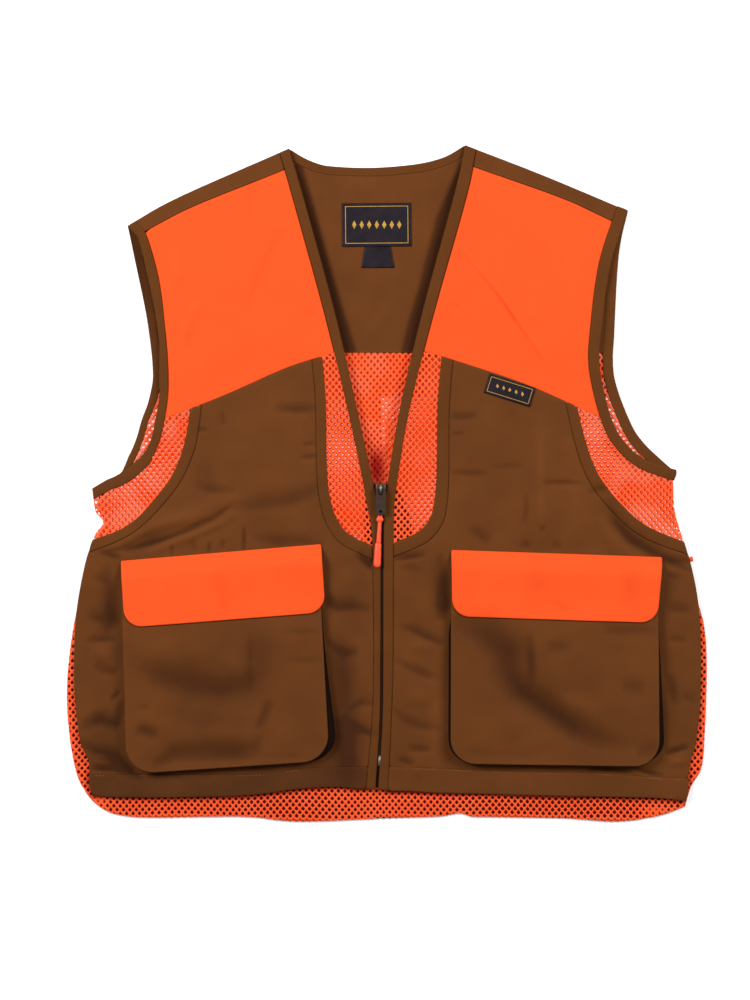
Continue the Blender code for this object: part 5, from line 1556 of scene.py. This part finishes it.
def diamonds(node, row, size, height, name):
    """A row of small woven diamonds on a label."""
    middle, pitch, turn, half = row
    verts = []
    polygons = []
    spots = np.array([(middle[0] + pitch * k * math.cos(turn),
                       middle[1] + pitch * k * math.sin(turn)) for k in range(-half, half + 1)])
    base = height(spots)
    for (x, y), z in zip(spots, base):
        first = len(verts)
        verts += [(x + size[0], y, z), (x, y + size[1], z), (x - size[0], y, z),
                  (x, y - size[1], z), (x, y, z + DIAMOND_RISE)]
        polygons += [(first + k, first + (k + 1) % 4, first + 4) for k in range(4)]
    obj = new_object(name, verts, polygons, GOLD_LOOK, smooth=False)
    record(obj, node, None, node)


def raised(height, thickness):
    return lambda places: height(places) + thickness


def make_stitching(side):
    """Rows of sewn thread, tone on tone, and lighter along the hem."""
    def here(*names):
        return [f"{name}_{side}" for name in names]

    over_canvas = raised(front_low, CANVAS)
    over_folded = raised(front_low, FOLDED)
    over_face = raised(face_low, CANVAS)
    over_flap = raised(flap_low(side), FLAP)
    panels = here("shoulder_strip", "chest_panel", "centre_mesh", "centre_strip",
                  "lower_front", "hem_band", "arm_mesh", "arm_strip")
    rows = [seam(f"front_binding_{side}", 0.0016, over_folded, panels),
            seam(f"armhole_binding_{side}", 0.0016, over_folded, panels)]
    for strip, mesh in (("arm_strip", "arm_mesh"), ("centre_strip", "centre_mesh")):
        rows.append(seam(f"{strip}_{side}", 0.0014, over_folded, here("lower_front", mesh)))
    rows.append(seam(f"shoulder_strip_{side}", 0.0020, over_canvas, here("chest_panel")))
    rows.append(seam(f"lower_front_{side}", 0.0020, over_canvas, here("chest_panel")))
    sewn(f"front_stitches_{side}", f"lower_front_{side}", rows, BROWN_THREAD,
         f"lower_front_{side}")
    sewn(f"hem_stitches_{side}", f"hem_band_{side}",
         [seam(f"hem_band_{side}", 0.0012, over_folded, here("lower_front"), HEM_SHOWN)],
         PALE_THREAD, f"hem_band_{side}")
    sewn(f"pocket_stitches_{side}", f"pocket_face_{side}",
         [seam(f"pocket_face_{side}", 0.0018, over_face)], BROWN_THREAD,
         f"pocket_face_{side}")
    sewn(f"flap_stitches_{side}", f"pocket_flap_{side}",
         [seam(f"pocket_flap_{side}", 0.0024, over_flap)], ORANGE_THREAD,
         f"pocket_flap_{side}")


def make_back_stitching():
    rows = [seam("back_neck_binding", 0.0016, raised(on_yoke, FOLDED), ["back_yoke"])]
    for side in SIDES:
        rows.append(seam(f"back_arm_binding_{side}", 0.0016, raised(on_table, FOLDED),
                         ["back_yoke", "back_mesh"]))
    rows.append(seam("back_yoke", 0.0020, raised(on_yoke, YOKE), ["back_mesh"]))
    sewn("back_stitches", "back_yoke", rows, BROWN_THREAD, "back_yoke")


def make_labels():
    under_label = raised(on_yoke, YOKE + GAP)
    on_label = raised(under_label, LABEL)
    under_chest_label = raised(front_top, GAP)
    on_chest_label = raised(under_chest_label, LABEL)
    for node in ("neck_label", "size_tab"):
        cloth(node, LABEL, under_label, LABEL_LOOK, "back_yoke")
    cloth("chest_label", LABEL, under_chest_label, LABEL_LOOK,
          "lower_front_right")
    cloth("side_loop", LABEL, front_low, BLAZE_LOOK, "lower_front_right")
    frame_lines("neck_label", 0.0030, 0.0007, on_label, "neck_label_border")
    frame_lines("chest_label", 0.0022, 0.0006, on_chest_label, "chest_label_border")
    diamonds("neck_label", NECK_DIAMONDS, (0.0022, 0.0042), on_label, "neck_label_diamonds")
    diamonds("chest_label", CHEST_DIAMONDS, (0.0016, 0.0026), on_chest_label,
             "chest_label_diamonds")


def make_teeth():
    """The closed chain's teeth, one after the other a little to the left and right."""
    length, along = measured(np.array(ZIP_LINE))
    half_width, half_length, half_height = TOOTH
    verts = []
    polygons = []
    for k, place in enumerate(along(np.arange(0.0, length, TOOTH_PITCH))):
        centre = place + (TOOTH_OFFSET if k % 2 else -TOOTH_OFFSET, 0.0)
        ground = float(front_low(centre[None])[0]) + half_height
        base = len(verts)
        verts.append((*centre, ground - half_height))
        for level in (-0.4, 0.4):
            for m in range(6):
                angle = math.pi * m / 3
                verts.append((centre[0] + half_width * 0.9 * math.cos(angle),
                              centre[1] + half_length * 0.9 * math.sin(angle),
                              ground + half_height * level))
        verts.append((*centre, ground + half_height))
        lower, upper, tip = base + 1, base + 7, base + 13
        for m in range(6):
            n = (m + 1) % 6
            polygons += [(base, lower + n, lower + m),
                         (lower + m, lower + n, upper + n, upper + m),
                         (upper + m, upper + n, tip)]
    record(new_object("zip_teeth", verts, polygons, COIL_LOOK), "zip_chain")


def make_zip():
    cloth("zip_tape", TAPE, raised(front_low, -GAP - TAPE), TAPE_LOOK, grown=0.0025)
    make_backing()
    make_teeth()
    tab = frame["nodes"]["pull_tab"].data
    tab.materials.clear()
    tab.materials.append(METAL_LOOK)
    tab.shade_smooth()
    tab.set_sharp_from_angle(angle=math.radians(40))
    make_slider()
    make_pull()
    # The pin is drawn in a lighter copy of the gunmetal: painted highlight
    pin = np.array(ZIP_PIN)
    path = np.column_stack([pin, front_low(pin) + 0.0011])
    record(tube("zip_pin", path, [(0.0013, 0.0008), (0.0013, 0.0008), (0.0012, 0.0007)],
                PAINTED_GLINT_LOOK), "zip_chain")


def make_slider():
    """The slider's body with its two shoulders, and the bridge that holds the tab."""
    edge = []
    for angle in np.arange(28) * math.tau / 28:
        c, s = math.cos(angle), math.sin(angle)
        x = SLIDER_HALF[0] * math.copysign(abs(c) ** 0.45, c) * (1.0 if s > 0 else 1.0 + 0.20 * s)
        y = SLIDER_HALF[1] * math.copysign(abs(s) ** 0.45, s) - 0.0009 * (s > 0.9)
        edge.append((x, y))
    edge = np.array(edge)
    rings = []
    for z, share in SLIDER_LEVELS:
        places = edge * share + SLIDER_AT
        rings.append(np.column_stack([places, np.full(len(places), z)]))
    record(rings_mesh("zip_slider_body", rings, METAL_LOOK), "zip_slider")
    # The bridge is drawn in a lighter copy of the gunmetal: painted highlight
    path = [(SLIDER_AT[0], SLIDER_AT[1] + BRIDGE_RADIUS * math.cos(t),
             BRIDGE_HEIGHT + BRIDGE_RADIUS * math.sin(t)) for t in np.linspace(math.pi, 0.0, 15)]
    record(tube("zip_slider_bridge", path, [(0.0012, 0.00055)] * 15, PAINTED_GLINT_LOOK),
           "zip_slider")


def tube(name, path, sizes, look, around=14):
    """A piece along a path, with a half width and a half thickness at each of its points."""
    path = np.array(path)
    ways = np.gradient(path, axis=0)
    ways /= np.linalg.norm(ways, axis=1)[:, None]
    rings = []
    for place, way, (wide, thick) in zip(path, ways, sizes):
        side = np.array([-way[1], way[0], 0.0])
        if np.linalg.norm(side) < 1e-6 or abs(way[0]) < 1e-9:
            side = np.array([1.0, 0.0, 0.0])
        side /= np.linalg.norm(side)
        top = np.cross(way, side)
        angles = np.arange(around) * math.tau / around
        rings.append(place + wide * np.cos(angles)[:, None] * side
                     + thick * np.sin(angles)[:, None] * top)
    return rings_mesh(name, rings, look)


def straight(line, shares):
    """Points at shares of a straight line, which is given by its start and its way."""
    start, way = np.array(line)
    return [start + way * share for share in shares]


def make_pull():
    """The moulded cord with its loop, knot and grip."""
    strands = []
    for name, off in (("pull_loop_left", -0.0011), ("pull_loop_right", 0.0011)):
        path = [(-0.0062 + off, -0.0296, 0.0122), (-0.0063 + 1.2 * off, -0.0312, 0.0121),
                (-0.0065 + off, -0.0330, 0.0119), (-0.0067 + 0.5 * off, -0.0350, 0.0118)]
        strands.append((tube(name, path, [(0.0008, 0.0009)] * 4, RUBBER_LOOK), "pull_cord"))
    shares = np.linspace(0.0, 1.0, 13)
    sizes = []
    for share in shares:
        bulge = max(1 - (2 * share - 1) ** 2, 0.02) ** 0.5
        sizes.append((0.0038 * bulge * (1 - 0.14 * math.sin(6 * share) ** 2), 0.0021 * bulge))
    strands.append((tube("pull_knot", straight(KNOT_LINE, shares), sizes, RUBBER_LOOK),
                    "pull_cord"))
    shares = np.linspace(0.0, 1.0, 9)
    sizes = [(0.0018 + 0.0006 * share, 0.0015) for share in shares]
    strands.append((tube("pull_cord_run", straight(CORD_LINE, shares), sizes, RUBBER_LOOK),
                    "pull_cord"))
    shares = [row[0] for row in GRIP_PROFILE]
    sizes = [row[1:] for row in GRIP_PROFILE]
    strands.append((tube("pull_grip_moulded", straight(GRIP_LINE, shares), sizes, RUBBER_LOOK,
                         20), "pull_grip"))
    for obj, node in strands:
        record(obj, node, body=PULL)


def make_studio():
    bpy.ops.mesh.primitive_plane_add(size=FLOOR_SIZE, location=(0.0, 0.0, FLOOR_HEIGHT))
    floor = bpy.context.active_object
    floor.name = "floor"
    floor.data.materials.append(floor_look())
    for name, x, power in SOFTBOXES:
        lamp = bpy.data.lights.new(name, "AREA")
        lamp.shape = "RECTANGLE"
        lamp.size = SOFTBOX_SIZE
        lamp.size_y = SOFTBOX_SIZE
        lamp.energy = power
        obj = placed(name, lamp)
        obj.location = (x, *SOFTBOX_PLACE)
        aim = -obj.location
        obj.rotation_euler = aim.to_track_quat("-Z", "Y").to_euler()
    scene = bpy.context.scene
    scene.world = bpy.data.worlds.new("studio")
    scene.world.use_nodes = True
    light = scene.world.node_tree.nodes["Background"].inputs
    light["Strength"].default_value = AMBIENT
    light["Color"].default_value = (1, 1, 1, 1)
    scene.view_settings.view_transform = "Standard"


def make_camera():
    camera = bpy.data.cameras.new("camera")
    obj = placed("camera", camera)
    across = (PHOTO_WIDTH / 2 - ORIGIN_PIXEL[0]) * METRES_PER_PIXEL
    along = (ORIGIN_PIXEL[1] - PHOTO_HEIGHT / 2) * METRES_PER_PIXEL
    obj.location = (across, along, CAMERA_HEIGHT)
    camera.sensor_width = SENSOR
    camera.lens = SENSOR * CAMERA_HEIGHT / (PHOTO_HEIGHT * METRES_PER_PIXEL)
    bpy.context.scene.camera = obj


BACK = Relief(["back_mesh"])
FRONT = Relief([f"{name}_{side}" for side in SIDES
                for name in ("shoulder_strip", "chest_panel", "arm_mesh", "arm_strip",
                             "centre_mesh", "centre_strip", "lower_front", "hem_band",
                             "front_binding", "armhole_binding")])
FACE = Relief(["pocket_face_left", "pocket_face_right"])

CANVAS_LOOK = cloth_look("brown_canvas", (0.130, 0.039, 0.0072), 0.80, 0.10, CANVAS_WEAVE)
BINDING_LOOK = cloth_look("brown_binding", (0.118, 0.036, 0.0062), 0.85, 0.06, BINDING_WEAVE)
# The left hem band is a darker copy of the canvas: painted shade where it tilts away from the light
HEM_LOOKS = {"left": cloth_look("brown_hem_painted_shade", (0.088, 0.027, 0.0056), 0.80, 0.14, CANVAS_WEAVE),
             "right": CANVAS_LOOK}
# Near black copy of the canvas: painted shadow in the gussets
GUSSET_SHADOW_LOOK = cloth_look("gusset_painted_shadow", (0.0095, 0.0027, 0.0010), 0.95, 0.10, CANVAS_WEAVE)
BLAZE_LOOK = cloth_look("blaze_cloth", (0.95, 0.090, 0.014), 0.75, 0.02, SMOOTH_WEAVE)
FACING_LOOK = cloth_look("blaze_facing", (0.76, 0.040, 0.006), 0.80, 0.04, SMOOTH_WEAVE)
LINING_LOOK = cloth_look("bag_lining", (0.075, 0.0045, 0.0025), 0.85, 0.10, COATED_WEAVE)
BACKING_LOOK = cloth_look("zip_backing", (0.150, 0.010, 0.0050), 0.85, 0.10, COATED_WEAVE)
TAPE_LOOK = cloth_look("zip_tape", (0.026, 0.0065, 0.0034), 0.9, 0.1, TAPE_WEAVE)
# The tints that the knits mix in are painted pale light, from the white table under them
NET_LOOK = net_look("blaze_net", (0.98, 0.165, 0.070))
BACK_NET_LOOK = net_look("blaze_net_back", (0.95, 0.270, 0.180))
LABEL_LOOK = label_look()
GOLD_LOOK = gold_look()
BROWN_THREAD = thread_look("brown_thread", (0.190, 0.078, 0.026))
PALE_THREAD = thread_look("pale_thread", (0.300, 0.160, 0.070))
ORANGE_THREAD = thread_look("orange_thread", (0.90, 0.110, 0.030))
COIL_LOOK = hard_look("zip_coil", (0.044, 0.016, 0.009), 0.60, 0.0, 0.003, 0.00003)
METAL_LOOK = hard_look("gunmetal", (0.100, 0.060, 0.047), 0.42, 0.75, 0.004, 0.00003)
# A lighter copy of the gunmetal for the bridge and the pin: painted highlight
PAINTED_GLINT_LOOK = hard_look("gunmetal_painted_highlight", (0.30, 0.28, 0.24), 0.50, 0.90, 0.004, 0.00003)
RUBBER_LOOK = hard_look("orange_rubber", (1.0, 0.095, 0.030), 0.45, 0.0, 0.004, 0.00003)

make_back()
for SIDE in SIDES:
    make_front(SIDE)
    make_pocket(SIDE)
    make_stitching(SIDE)
make_back_stitching()
make_labels()
make_zip()
declare_sheets()
make_studio()
make_camera()
